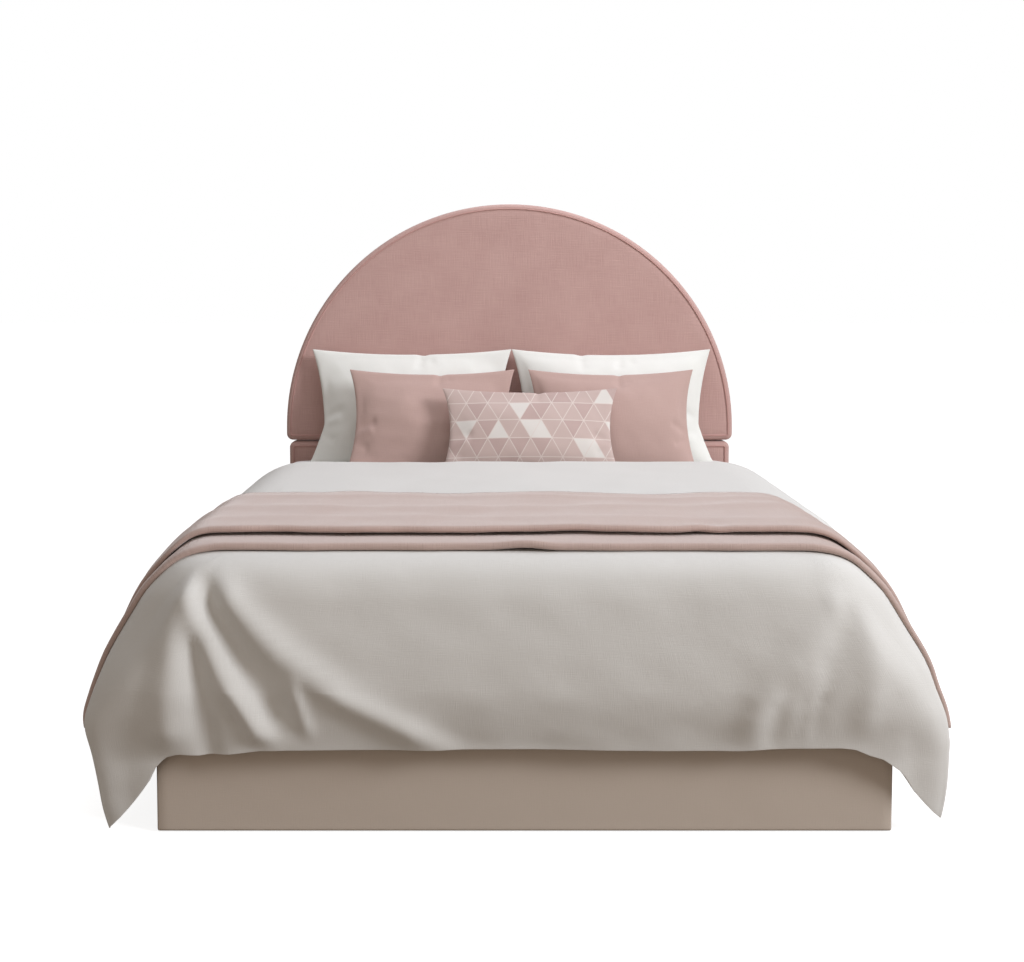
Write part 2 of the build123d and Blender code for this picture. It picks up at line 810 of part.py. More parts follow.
# Pillows and cushions
def cushion_section(width, height, corner_share, draw_share):
    """Outline of a cushion at one level: rounded corners and drawn-in sides, as shares of its height."""
    half_x, half_z = width / 2, height / 2
    corner, draw = height * corner_share, height * draw_share
    bite = corner * (1 - cos(radians(corner_middle_angle)))
    rounding = [(half_x, half_z - corner), (half_x - bite, half_z - bite), (half_x - corner, half_z)]
    quarter = [(half_x - draw, 0)] + rounding
    upper = quarter + [(0, half_z - draw)] + [(-x, z) for x, z in reversed(quarter)]
    ring = upper + [(x, -z) for x, z in reversed(upper[1:-1])] + quarter[:2]
    return make_face([ThreePointArc(*ring[i:i + 3]) for i in range(1, len(ring) - 2, 2)])


def cushion_form(size):
    """A crowned cushion, standing on its lower edge: two halves lofted from its seam to its crowns."""
    width, height, thickness = size
    halves = []
    for side in sides:
        sections = []
        for depth, inset, corner, draw in cushion_level_shares:
            drawn_in = inset * height
            outline = cushion_section(width - drawn_in * 2, height - drawn_in * 2, corner, draw)
            sections.append(panel_plane(side * depth * thickness / 2) * Pos(0, height / 2) * outline)
        halves.append(loft(sections))
    return halves[0] + halves[1]


def leaning(size, lean, place):
    """A cushion leaned back, flat where it stands on the sheet."""
    low = bed_top + soft_clearance
    form = Pos(place, 0, low - seat_flat) * Rot(X=-lean) * cushion_form(size)
    reach = max(size)
    return form - block((place - reach, -reach, low - reach), (place + reach, reach, low))


def rest_against(cushions, lean, limit):
    """Move cushions back until they are just clear of what they lean on, along their own lean."""
    upright = Rot(X=lean)
    back = max((upright * cushion).bounding_box().max.Y for cushion in cushions)
    step = (limit - soft_clearance - back) / cos(radians(lean))
    return [Pos(0, step, 0) * cushion for cushion in cushions]


def front_of(cushions, lean):
    """The place that the next cushions rest against, measured square to their lean."""
    return min((Rot(X=lean) * cushion).bounding_box().min.Y for cushion in cushions)


pillows = [leaning(pillow_size, pillow_lean, place) for place in pillow_places]
pillow_back = max(pillow.bounding_box().max.Y for pillow in pillows)
pillow_step = headboard_front - welt_height - soft_clearance - pillow_back
pillows = [Pos(0, pillow_step, 0) * pillow for pillow in pillows]
cushions = [leaning(cushion_size, cushion_lean, place) for place in cushion_places]
cushions = rest_against(cushions, cushion_lean, front_of(pillows, cushion_lean))
lumbar = [leaning(lumbar_size, lumbar_lean, lumbar_place)]
lumbar = rest_against(lumbar, lumbar_lean, front_of(cushions, lumbar_lean))


os.makedirs("parts", exist_ok=True)
for side, name in zip(sides, ("left", "right")):
    index = sides.index(side)
    save(f"side_rail_{name}", side_boards[index])
    save(f"side_cover_{name}", side_cover(side))
    save(f"slat_ledge_{name}", slat_ledge(side))
    save(f"corner_bracket_foot_{name}", bracket(side, well_foot, -1))
    save(f"corner_bracket_head_{name}", bracket(side, well_head, 1))
    save(f"slat_strap_{name}", straps[index])
    save(f"headboard_strut_{name}", strut(strut_places[index]))
    save(f"pillow_{name}", pillows[index])
    save(f"cushion_{name}", cushions[index])
save("foot_rail", foot_board)
save("foot_cover", foot_cover())
save("head_rail", head_board)
save("corner_bolts", *[socket_bolt(seat, direction, bolt_length) for seat, direction in corner_seats()])
save("headboard_bolts", *[socket_bolt(seat, (0, 1, 0), head_bolt_length) for seat in head_bolt_seats])
save("glides", *glides)
save("centre_beam", beam)
save("beam_hangers", beam_hanger(well_foot, -1), beam_hanger(well_head, 1))
for place_share, name in zip(leg_place_shares, ("foot", "middle", "head")):
    save(f"centre_leg_{name}", centre_leg(well_foot + (well_head - well_foot) * place_share))
for i, place in enumerate(slat_places()):
    save(f"slat_{i + 1:02d}", slat(place))
for prefix, parts in (("dome", dome_parts), ("lower_panel", lower_parts)):
    save(f"{prefix}_foam", parts[1])
    save(f"{prefix}_cover", parts[2])
save("dome_welt", dome_parts[3])
save("lower_panel_welt", lower_welt)
save("dome_board", dome_board)
save("lower_panel_board", lower_board)
save("dome_back_cloth", dome_cloth)
save("lower_panel_back_cloth", lower_cloth)
save("strut_screws", *screws)
save("mattress", mattress)
save("mattress_tapes", tapes)
save("fitted_sheet", fitted_sheet())
save("duvet", duvet())
save("throw", throw())
save("lumbar_cushion", *lumbar)
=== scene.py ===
"""A double bed with a half-round headboard, made up with its bedding, dressed for a studio picture.

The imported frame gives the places. Each sub-assembly below is a class that works out its surfaces as whole
arrays and dresses them with its own cloth, timber, steel or plastic. Lengths are metres.
"""
import json
import logging
import math
from dataclasses import dataclass, field
from enum import Enum
from typing import Callable, Sequence

import bmesh
import bpy
import numpy as np
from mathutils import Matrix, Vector


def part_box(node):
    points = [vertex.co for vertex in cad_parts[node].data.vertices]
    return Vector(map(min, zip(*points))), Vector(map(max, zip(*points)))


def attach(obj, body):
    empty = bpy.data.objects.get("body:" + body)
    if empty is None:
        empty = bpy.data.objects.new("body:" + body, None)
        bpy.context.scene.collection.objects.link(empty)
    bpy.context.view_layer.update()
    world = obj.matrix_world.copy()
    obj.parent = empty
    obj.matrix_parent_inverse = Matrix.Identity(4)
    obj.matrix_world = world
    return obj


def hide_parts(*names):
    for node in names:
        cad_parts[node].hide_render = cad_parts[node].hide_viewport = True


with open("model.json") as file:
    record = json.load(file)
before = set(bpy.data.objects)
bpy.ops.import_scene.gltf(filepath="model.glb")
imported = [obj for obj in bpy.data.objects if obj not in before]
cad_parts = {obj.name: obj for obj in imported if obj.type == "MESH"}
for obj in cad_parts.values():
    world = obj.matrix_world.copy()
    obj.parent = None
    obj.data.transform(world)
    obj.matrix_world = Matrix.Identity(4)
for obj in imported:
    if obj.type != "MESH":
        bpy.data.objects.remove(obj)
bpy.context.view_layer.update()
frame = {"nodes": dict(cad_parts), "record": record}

BODY = "root"
LOG = logging.getLogger("bed")
# Points nearer than a weld become one, and edges shorter than a sliver go.
WELD = 0.00005
SLIVER = 0.00002
# A sheet's rim is rounded in this many steps, wherever its faces meet at more than this angle.
RIM_STEPS = 3
RIM_ANGLE = math.radians(55)
WHITE = (1.0, 1.0, 1.0, 1.0)
# Pairs of a place and its value, in the order of the places.
Table = tuple[tuple[float, float], ...]
# Which of the duvet outline's control points are the tips of its two hanging corners.
LEFT_TIP, RIGHT_TIP = 6, 16


class Coordinates(Enum):
    """Where a finish reads its pattern from."""

    SURFACE = "UV"
    SPACE = "Object"


class Grain(Enum):
    """The way a timber piece's grain runs."""

    ACROSS = 0
    LENGTHWISE = 1
    UPRIGHT = 2


def linear(code: str) -> tuple[float, float, float, float]:
    """Turn a six-digit sRGB colour code into linear light: a straight toe, then a power curve.

    Args:
        code: red, green and blue as pairs of hexadecimal digits.

    Returns:
        The linear colour with a full alpha.
    """
    toe, toe_slope, offset, power = 0.04045, 12.92, 0.055, 2.4
    parts = [int(code[i:i + 2], 16) / 255 for i in (0, 2, 4)]
    red, green, blue = (p / toe_slope if p <= toe else ((p + offset) / (1 + offset)) ** power for p in parts)
    return (red, green, blue, 1.0)


class Nodes:
    """A node tree, written a node at a time."""

    def __init__(self, tree: bpy.types.NodeTree) -> None:
        """Start with an empty tree."""
        self.tree = tree
        self.tree.nodes.clear()

    def add(self, kind: str, inputs: dict | None = None, **settings: object) -> bpy.types.Node:
        """Add one node with its settings and links.

        Args:
            kind: the node's type without its common prefix.
            inputs: a value, or another node's output, for each input by name or number.
            settings: the node's own options.

        Returns:
            The new node.
        """
        node = self.tree.nodes.new("ShaderNode" + kind)
        for key, value in settings.items():
            setattr(node, key, value)
        self.feed(node, inputs or {})
        return node

    def feed(self, node: bpy.types.Node, inputs: dict) -> None:
        """Set or link a node's inputs.

        Args:
            node: the node.
            inputs: a value, or another node's output, for each input by name or number.
        """
        for key, value in inputs.items():
            if isinstance(value, bpy.types.NodeSocket):
                self.tree.links.new(value, node.inputs[key])
            else:
                node.inputs[key].default_value = value

    def math(self, operation: str, *values: object) -> bpy.types.NodeSocket:
        """The result of one sum on numbers or outputs."""
        return self.add("Math", dict(enumerate(values)), operation=operation).outputs[0]


class Shader(Nodes):
    """One material's node tree, with what the finishes below share."""

    def __init__(self, name: str) -> None:
        """Start a material with a surface shader joined to its output.

        Args:
            name: the material's name.
        """
        self.material = bpy.data.materials.new(name)
        self.material.use_nodes = True
        super().__init__(self.material.node_tree)
        self.base = self.add("BsdfPrincipled")
        self.out = self.add("OutputMaterial", {"Surface": self.base.outputs[0]})

    def blend(self, share: object, near: object, far: object) -> bpy.types.NodeSocket:
        """A colour between two colours."""
        return self.add("Mix", {0: share, 6: near, 7: far}, data_type="RGBA").outputs[2]

    def noise(self, place: object, scale: float | Sequence[float],
              detail: float = 2.0) -> bpy.types.NodeSocket:
        """Noise with one scale for all three axes, or a scale for each, which stretches its grains.

        Args:
            place: the coordinates that it follows.
            scale: the scale or scales.
            detail: how many finer layers it has.

        Returns:
            The noise's output.
        """
        scales = tuple(np.broadcast_to(scale, 3).tolist())
        spread = self.add("Mapping", {"Vector": place, "Scale": scales})
        return self.add("TexNoise", {"Vector": spread.outputs[0], "Scale": 1.0, "Detail": detail}).outputs[0]

    def place(self, where: Coordinates) -> bpy.types.NodeSocket:
        """The coordinates that a pattern follows."""
        return self.add("TexCoord").outputs[where.value]

    def relief(self, height: object, distance: float, strength: float = 1.0) -> None:
        """Give the surface a fine relief."""
        bump = self.add("Bump", {"Height": height, "Distance": distance, "Strength": strength})
        self.feed(self.base, {"Normal": bump.outputs[0]})


@dataclass(frozen=True)
class Finish:
    """What the plain finishes share: a name, a colour, and the shade that the pattern mixes in."""

    name: str
    colour: str
    shade: str

    def tone(self, shader: Shader, share: object) -> bpy.types.NodeSocket:
        """The colour, turned towards the shade by a share."""
        return shader.blend(share, linear(self.colour), linear(self.shade))


@dataclass(frozen=True)
class Cloth(Finish):
    """A woven or knitted cloth: crossed threads, uneven yarn, a soft nap, and creases where it has them.

    Its threads are drawn coarser than life, so that they show in a picture of the whole bed.
    """

    thread: float = 0.0014
    slub: float = 0.5
    mottle: float = 0.3
    relief: float = 0.0004
    crease: float = 0.0
    crease_scale: float = 9.0
    sheen: float = 0.25
    roughness: float = 0.9
    where: Coordinates = Coordinates.SURFACE
    yarn_length: float = 26.0
    cloud_scale: float = 7.0
    sheen_roughness: float = 0.5
    specular: float = 0.25

    def material(self) -> bpy.types.Material:
        """Write the cloth's nodes: two crossed noises make the threads, and broad ones the nap and creases.

        Returns:
            The new material.
        """
        s = Shader(self.name)
        place = s.place(self.where)
        fine, long = 1 / self.thread, 1 / (self.thread * self.yarn_length)
        warp = s.noise(place, (fine, long, fine), 1.0)
        weft = s.noise(place, (long, fine, fine), 1.0)
        height = s.math("ADD", warp, weft)
        yarn = s.math("MULTIPLY_ADD", height, 0.5 * self.slub, 0.5 - 0.5 * self.slub)
        cloud = s.noise(place, self.cloud_scale, 3.0)
        share = s.math("MULTIPLY_ADD", s.math("SUBTRACT", cloud, 0.5), self.mottle, yarn)
        s.feed(s.base, {
            "Base Color": self.tone(s, share), "Roughness": self.roughness, "Sheen Weight": self.sheen,
            "Sheen Roughness": self.sheen_roughness, "Specular IOR Level": self.specular,
        })
        if self.crease:
            fold = s.noise(place, self.crease_scale)
            height = s.math("MULTIPLY_ADD", fold, self.crease / self.relief, height)
        s.relief(height, self.relief)
        return s.material


@dataclass(frozen=True)
class Timber(Finish):
    """Sawn or planed softwood: bands of growth rings and fine fibres, both drawn out along the grain."""

    grain: Grain
    roughness: float = 0.65
    ring_scales: tuple[float, float] = (60.0, 1.6)
    fibre_scales: tuple[float, float] = (900.0, 9.0)
    bands: float = 5.0
    band_share: float = 0.55
    fibre_share: float = 0.4
    relief: float = 0.0003

    def material(self) -> bpy.types.Material:
        """Write the timber's nodes.

        Returns:
            The new material.
        """
        s = Shader(self.name)
        place = s.place(Coordinates.SPACE)
        rings, fibres = [self.ring_scales[0]] * 3, [self.fibre_scales[0]] * 3
        rings[self.grain.value], fibres[self.grain.value] = self.ring_scales[1], self.fibre_scales[1]
        bands = s.math("FRACT", s.math("MULTIPLY", s.noise(place, rings, 3.0), self.bands))
        fibre = s.noise(place, fibres)
        share = s.math("MULTIPLY_ADD", bands, self.band_share, s.math("MULTIPLY", fibre, self.fibre_share))
        s.feed(s.base, {"Base Color": self.tone(s, share), "Roughness": self.roughness})
        s.relief(fibre, self.relief)
        return s.material


@dataclass(frozen=True)
class Metal(Finish):
    """Pressed or plated steel: a cloudy colour, with a roughness that follows the same clouds."""

    roughness: float = 0.4
    roughness_spread: float = 0.1
    cloud_scale: float = 45.0
    fine_scale: float = 900.0
    relief: float = 0.00008

    def material(self) -> bpy.types.Material:
        """Write the metal's nodes.

        Returns:
            The new material.
        """
        s = Shader(self.name)
        place = s.place(Coordinates.SPACE)
        cloud = s.noise(place, self.cloud_scale, 3.0)
        least, most = self.roughness - self.roughness_spread, self.roughness + self.roughness_spread
        rough = s.math("MULTIPLY_ADD", cloud, most - least, least)
        s.feed(s.base, {"Base Color": self.tone(s, cloud), "Metallic": 1.0, "Roughness": rough})
        s.relief(s.noise(place, self.fine_scale, 1.0), self.relief)
        return s.material


@dataclass(frozen=True)
class Moulded(Finish):
    """Moulded plastic, foam or pressed board: cells of the given width, and broad clouds over them."""

    grain: float
    relief: float
    roughness: float = 0.6
    cloud_scale: float = 20.0

    def material(self) -> bpy.types.Material:
        """Write the nodes of a grained solid.

        Returns:
            The new material.
        """
        s = Shader(self.name)
        place = s.place(Coordinates.SPACE)
        cells = s.add("TexVoronoi", {"Vector": place, "Scale": 1 / self.grain}).outputs[0]
        cloud = s.noise(place, self.cloud_scale)
        share = s.math("MULTIPLY_ADD", cells, 0.5, s.math("MULTIPLY", cloud, 0.5))
        s.feed(s.base, {"Base Color": self.tone(s, share), "Roughness": self.roughness})
        s.relief(cells, self.relief)
        return s.material


@dataclass(frozen=True)
class TrianglePrint:
    """A printed cotton: pale lines in three directions, with some of their triangles filled."""

    name: str
    ground: str
    line: str
    pale: str
    deep: str
    pitch: float = 0.07
    line_share: float = 0.022
    line_strength: float = 0.85
    deep_from: float = 0.8
    pale_below: float = 0.12
    weave_scale: float = 800.0
    weave_share: float = 0.14
    relief: float = 0.0004
    roughness: float = 0.85
    sheen: float = 0.2
    specular: float = 0.25

    def material(self) -> bpy.types.Material:
        """Write the print's nodes: three families of lines, and a fill by chance in each triangle.

        Returns:
            The new material.
        """
        s = Shader(self.name)
        place = s.place(Coordinates.SURFACE)
        spot = s.add("SeparateXYZ", {"Vector": place})
        rows = s.math("DIVIDE", spot.outputs[1], self.pitch * math.sqrt(0.75))
        steps = s.math("DIVIDE", spot.outputs[0], self.pitch)
        half = s.math("MULTIPLY", rows, 0.5)
        axes = (rows, s.math("ADD", steps, half), s.math("SUBTRACT", steps, half))
        lines: object = 0.0
        for axis in axes:
            near = s.math("PINGPONG", axis, 0.5)
            lines = s.math("MAXIMUM", lines, s.math("LESS_THAN", near, self.line_share))
        cell = s.add("CombineXYZ", {i: s.math("FLOOR", axis) for i, axis in enumerate(axes)})
        chance = s.add("TexWhiteNoise", {"Vector": cell.outputs[0]}).outputs[0]
        weave = s.noise(place, self.weave_scale, 1.0)
        colour: object = linear(self.ground)
        for share, code in (
            (s.math("GREATER_THAN", chance, self.deep_from), self.deep),
            (s.math("LESS_THAN", chance, self.pale_below), self.pale),
            (s.math("MULTIPLY", lines, self.line_strength), self.line),
            (s.math("MULTIPLY", weave, self.weave_share), self.deep),
        ):
            colour = s.blend(share, colour, linear(code))
        s.feed(s.base, {
            "Base Color": colour, "Roughness": self.roughness, "Sheen Weight": self.sheen,
            "Specular IOR Level": self.specular,
        })
        s.relief(weave, self.relief)
        return s.material


def grid_quads(rows: int, columns: int) -> np.ndarray:
    """Corner numbers of a grid's quads, row by row."""
    first = (np.arange(rows - 1)[:, None] * columns + np.arange(columns - 1)[None, :]).ravel()
    return np.stack([first, first + 1, first + columns + 1, first + columns], axis=1)


def make_piece(name: str, grids: Sequence[tuple[np.ndarray, np.ndarray]], material: bpy.types.Material,
               slot: str, outward: bool = True) -> bpy.types.Object:
    """Put grids of points into one mesh, welded where they meet.

    Args:
        name: the piece's name.
        grids: for each grid, its points (rows, columns, 3) and its surface coordinates (rows, columns, 2).
        material: the finish.
        slot: the record's material slot; it is not used.
        outward: whether the faces are turned outwards afterwards.

    Returns:
        The new object, riding on the bed.
    """
    points, quads, spots, start = [], [], [], 0
    for grid, spot in grids:
        rows, columns = grid.shape[:2]
        points.append(grid.reshape(-1, 3))
        spots.append(np.broadcast_to(spot, (rows, columns, 2)).reshape(-1, 2))
        quads.append(grid_quads(rows, columns) + start)
        start += rows * columns
    mesh = bpy.data.meshes.new(name)
    mesh.from_pydata(np.concatenate(points).tolist(), [], np.concatenate(quads).tolist())
    corners = np.empty(len(mesh.loops), np.int32)
    mesh.loops.foreach_get("vertex_index", corners)
    layer = mesh.uv_layers.new(name="Surface")
    layer.data.foreach_set("uv", np.concatenate(spots)[corners].astype(np.float32).ravel())
    work = bmesh.new()
    work.from_mesh(mesh)
    bmesh.ops.remove_doubles(work, verts=work.verts, dist=WELD)
    bmesh.ops.dissolve_degenerate(work, edges=work.edges, dist=SLIVER)
    if outward:
        bmesh.ops.recalc_face_normals(work, faces=work.faces)
    work.to_mesh(mesh)
    work.free()
    mesh.polygons.foreach_set("use_smooth", np.ones(len(mesh.polygons), bool))
    mesh.materials.append(material)
    piece = bpy.data.objects.new(name, mesh)
    bpy.context.scene.collection.objects.link(piece)
    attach(piece, BODY)
    LOG.info("%s: %d faces", name, len(mesh.polygons))
    return piece


def thicken(piece: bpy.types.Object, thickness: float, rim: float = 0.0, outwards: float = -1.0) -> None:
    """Give a sheet its thickness, and round its rim.

    Args:
        piece: the sheet.
        thickness: how thick it becomes.
        rim: how far its rim is rounded, or nought to leave it square.
        outwards: which side grows: -1 the back, 1 the front, 0 both by half.
    """
    solid = piece.modifiers.new("Thickness", "SOLIDIFY")
    solid.thickness, solid.offset = thickness, outwards
    if rim:
        bevel = piece.modifiers.new("Rim", "BEVEL")
        bevel.width, bevel.segments = rim, RIM_STEPS
        bevel.limit_method, bevel.angle_limit = "ANGLE", RIM_ANGLE


def refine(piece: bpy.types.Object, levels: int = 1) -> None:
    """Smooth a piece by subdivision."""
    smooth = piece.modifiers.new("Smooth", "SUBSURF")
    smooth.levels = smooth.render_levels = levels


def cubic(x: np.ndarray, near: np.ndarray, far: np.ndarray, leaving: np.ndarray,
          arriving: np.ndarray) -> np.ndarray:
    """A cubic from one value to another as x goes from nought to one.

    Args:
        x: the share of the way.
        near: the value at the start.
        far: the value at the end.
        leaving: the slope at the start, over the whole way.
        arriving: the slope at the end, over the whole way.

    Returns:
        The value at each share.
    """
    return ((2 * x ** 3 - 3 * x ** 2 + 1) * near + (x ** 3 - 2 * x ** 2 + x) * leaving
            + (3 * x ** 2 - 2 * x ** 3) * far + (x ** 3 - x ** 2) * arriving)


def spline_weights(knots: np.ndarray, places: np.ndarray) -> np.ndarray:
    """Weights that turn control points into a smooth curve through them.

    Each stretch is a cubic whose slope at a control point is the mean of the two chords there, each
    weighted by the other's length.

    Args:
        knots: the control points' places along the curve.
        places: where the curve is wanted.

    Returns:
        One row of weights over the control points for each place.
    """
    count = len(knots)
    gaps = np.diff(knots)
    unit = np.eye(count)
    chords = (unit[1:] - unit[:-1]) / gaps[:, None]
    before, after = gaps[:-1, None], gaps[1:, None]
    middle = (after * chords[:-1] + before * chords[1:]) / (before + after)
    slopes = np.concatenate([chords[:1], middle, chords[-1:]])
    span = np.clip(np.searchsorted(knots, places, "right") - 1, 0, count - 2)
    length = gaps[span][:, None]
    x = ((places - knots[span]) / gaps[span])[:, None]
    return cubic(x, unit[span], unit[span + 1], length * slopes[span], length * slopes[span + 1])


def smooth_table(where: np.ndarray, table: Table) -> np.ndarray:
    """Read a table of pairs at any place, smoothly between its entries.

    Args:
        where: the places.
        table: pairs of a place and its value, in order.

    Returns:
        The value at each place, in the places' own shape.
    """
    knots, values = np.array(table, float).T
    flat = np.clip(where, knots[0], knots[-1]).ravel()
    return (spline_weights(knots, flat) @ values).reshape(np.shape(where))


def ease(share: np.ndarray) -> np.ndarray:
    """A share from nought to one that starts and ends level."""
    x = np.clip(share, 0, 1)
    return x * x * (3 - 2 * x)


def bell(away: np.ndarray, width: float) -> np.ndarray:
    """One at nought, falling off on both sides over the given width."""
    return np.exp(-(away / width) ** 2)


def run_length(line: np.ndarray) -> np.ndarray:
    """How far along a line each of its points lies."""
    return np.concatenate([[0.0], np.cumsum(np.hypot(*np.diff(line, axis=0).T))])


def ripple(x: np.ndarray, y: np.ndarray, seed: int, waves: int = 9, longest: float = 0.5) -> np.ndarray:
    """Soft unevenness: a sum of waves in set directions, each shorter and lower than the one before.

    Args:
        x: places one way.
        y: places the other way.
        seed: which directions and phases are drawn.
        waves: how many waves are summed.
        longest: the first wave's length.

    Returns:
        The unevenness at each place, mostly between -1 and 1.
    """
    shorter, lower, spread = 0.78, 0.82, 3.0
    chance = np.random.default_rng(seed)
    total = np.zeros(np.broadcast(x, y).shape)
    for step in range(waves):
        angle, phase = chance.uniform(0, 2 * math.pi, 2)
        turns = 2 * math.pi / (longest * shorter ** step)
        total = total + lower ** step * np.sin((x * math.cos(angle) + y * math.sin(angle)) * turns + phase)
    return total / spread


def closed_line(arcs: Sequence[tuple], between: int) -> np.ndarray:
    """A closed line through arcs, with even points on the straight runs between them.

    Args:
        arcs: for each arc its centre, radius, first and last angle in degrees, and number of points.
        between: how many points stand on each straight run.

    Returns:
        Points (count, 2), with the first one repeated at the end.
    """
    bends = []
    for (x, z), radius, start, end, count in arcs:
        angle = np.radians(np.linspace(start, end, count))
        bends.append(np.stack([x + radius * np.cos(angle), z + radius * np.sin(angle)], axis=1))
    runs = []
    for bend, following in zip(bends, bends[1:] + bends[:1]):
        share = np.linspace(0, 1, between + 2)[1:-1, None]
        runs += [bend, bend[-1] + (following[0] - bend[-1]) * share]
    line = np.concatenate(runs)
    return np.concatenate([line, line[:1]])


@dataclass(frozen=True)
class Crease:
    """A ridge or valley in cloth: a line of points, its half width and how far it stands out."""

    points: Table
    width: float
    height: float
    run_in: float = 0.06
    least_in: float = 0.12
    most_in: float = 0.4
    least_out: float = 0.2

    def relief(self, x: np.ndarray, z: np.ndarray) -> np.ndarray:
        """How far the crease moves each point: a bell across its line that fades at both its ends.

        Args:
            x: the points' places across.
            z: the points' places up.

        Returns:
            The height at each point.
        """
        line = np.array(self.points)
        marks = run_length(line)
        whole = marks[-1]
        marks = marks / whole
        best = np.full(np.shape(x), np.inf)
        along = np.zeros(np.shape(x))
        for i, (start, end) in enumerate(zip(line, line[1:])):
            run = end - start
            share = np.clip(((x - start[0]) * run[0] + (z - start[1]) * run[1]) / (run @ run), 0, 1)
            away = np.hypot(x - start[0] - share * run[0], z - start[1] - share * run[1])
            nearer = away < best
            along = np.where(nearer, marks[i] + share * (marks[i + 1] - marks[i]), along)
            best = np.minimum(best, away)
        begin = min(max(self.least_in, self.run_in / whole), self.most_in)
        fade = ease(along / begin) * ease((1 - along) / max(self.least_out, begin))
        return self.height * fade * bell(best, self.width)


@dataclass
class Headboard:
    """Two upholstered panels: a half-round dome over a low rectangle, each with a piped line near its rim."""

    front: float = 1.016
    back: float = 1.0841
    radius: float = 0.79
    dome_low: float = 0.6148
    dome_centre: float = 0.656
    half: float = 0.78
    low: float = 0.012
    high: float = 0.61
    corner: float = 0.022
    corner_share: float = 0.6
    least_corner: float = 0.0055
    foot_corner: float = 0.002
    edge: float = 0.014
    back_rings: Table = ((0.035, 0.0002), (0.004, 0.0002), (0.0006, -0.003))
    front_insets: tuple[float, ...] = (0.0175, 0.021, 0.026)
    face_inset: float = 0.03
    face_rings: int = 34
    face_depth: float = 0.006
    groove: tuple[float, ...] = (0.6, 1.0, 0.5, 0.1)
    groove_depth: float = 0.0016
    unevenness: float = 0.0006
    fullness: float = 0.0012
    piping_inset: float = 0.0165
    piping_radius: float = 0.0026
    piping_set: float = 0.0004
    piping_low: float = 0.336

    def dome(self, inset: float) -> np.ndarray:
        """The dome's outline, drawn in by an inset: a foot line, two small corners and a half circle.

        Args:
            inset: how far inside the full outline.

        Returns:
            Points across and up.
        """
        reach, low = self.radius - inset, self.dome_low + inset
        room = (self.dome_centre - low) * self.corner_share
        corner = min(max(self.corner - inset, self.least_corner), room)
        return closed_line([
            ((reach - corner, low + corner), corner, -90, 0, 9),
            ((0.0, self.dome_centre), reach, 0, 180, 150),
            ((-reach + corner, low + corner), corner, 180, 270, 9),
        ], 70)

    def panel(self, inset: float) -> np.ndarray:
        """The lower panel's outline, drawn in by an inset: square feet and rounded upper corners.

        Args:
            inset: how far inside the full outline.

        Returns:
            Points across and up.
        """
        reach, low, high = self.half - inset, self.low + inset, self.high - inset
        corner, foot = max(self.corner - inset, self.least_corner), self.foot_corner
        return closed_line([
            ((reach - foot, low + foot), foot, -90, 0, 5),
            ((reach - corner, high - corner), corner, 0, 90, 12),
            ((-reach + corner, high - corner), corner, 90, 180, 12),
            ((-reach + foot, low + foot), foot, 180, 270, 5),
        ], 40)

    def shell(self, outline: Callable[[float], np.ndarray], middle: tuple[float, float]) -> tuple:
        """A panel's cover: rings of its outline from the back round the edge, then drawn in to its middle.

        Args:
            outline: the panel's outline at a given inset.
            middle: the point across and up that the face's rings close on.

        Returns:
            The grid of points, and its surface coordinates: across and up, moved outwards by the depth.
        """
        turn = np.radians(np.linspace(0, 90, 6))
        rings = [(inset, self.back + depth) for inset, depth in self.back_rings]
        rings += [(0.0, self.front + self.edge * 2)]
        rings += [(self.edge * (1 - math.cos(a)), self.front + self.edge * (1 - math.sin(a))) for a in turn]
        first = len(rings)
        rings += [(inset, self.front) for inset in self.front_insets]
        loops = [np.insert(outline(inset), 1, depth, axis=1) for inset, depth in rings]
        centre = np.array(middle)
        inner = outline(self.face_inset) - centre
        for share in np.linspace(1, 0, self.face_rings):
            loops.append(np.insert(centre + inner * share, 1, self.front, axis=1))
        grid = np.stack(loops)
        x, y, z = grid[..., 0], grid[..., 1], grid[..., 2]
        face = ease((self.front + self.face_depth - y) / self.face_depth)
        groove = np.zeros((len(grid), 1))
        groove[first:first + len(self.groove), 0] = self.groove
        y += (self.groove_depth * groove + self.unevenness * ripple(x, z, 3) - self.fullness) * face
        away = np.stack([x - centre[0], z - centre[1]], axis=-1)
        away /= np.linalg.norm(away, axis=-1, keepdims=True) + 1e-6
        return grid, np.stack([x, z], axis=-1) + away * (y - self.front)[..., None]

    def piping(self, line: np.ndarray) -> tuple:
        """A round cord of cloth: a circle carried along the line, turned with the line's own normal.

        Args:
            line: points across and up, closed or open.

        Returns:
            The grid of points and its surface coordinates: along the cord and round it.
        """
        step = np.gradient(line, axis=0)
        if np.allclose(line[0], line[-1]):
            step[0] = step[-1] = (step[0] + step[-1]) / 2
        else:
            # An open cord's last ring takes the first one's direction, which pinches its last step.
            step[-1] = step[0]
        side = np.stack([step[:, 1], -step[:, 0]], axis=1) / np.hypot(*step.T)[:, None]
        angle = np.linspace(0, 2 * math.pi, 11)
        ring = self.piping_radius * np.cos(angle)
        x = line[:, 0, None] + side[:, 0, None] * ring
        z = line[:, 1, None] + side[:, 1, None] * ring
        y = np.broadcast_to(self.front - self.piping_set - self.piping_radius * np.sin(angle), x.shape)
        spot = np.stack(np.broadcast_arrays(run_length(line)[:, None], angle * self.piping_radius), axis=-1)
        return np.stack([x, y, z], axis=-1), spot

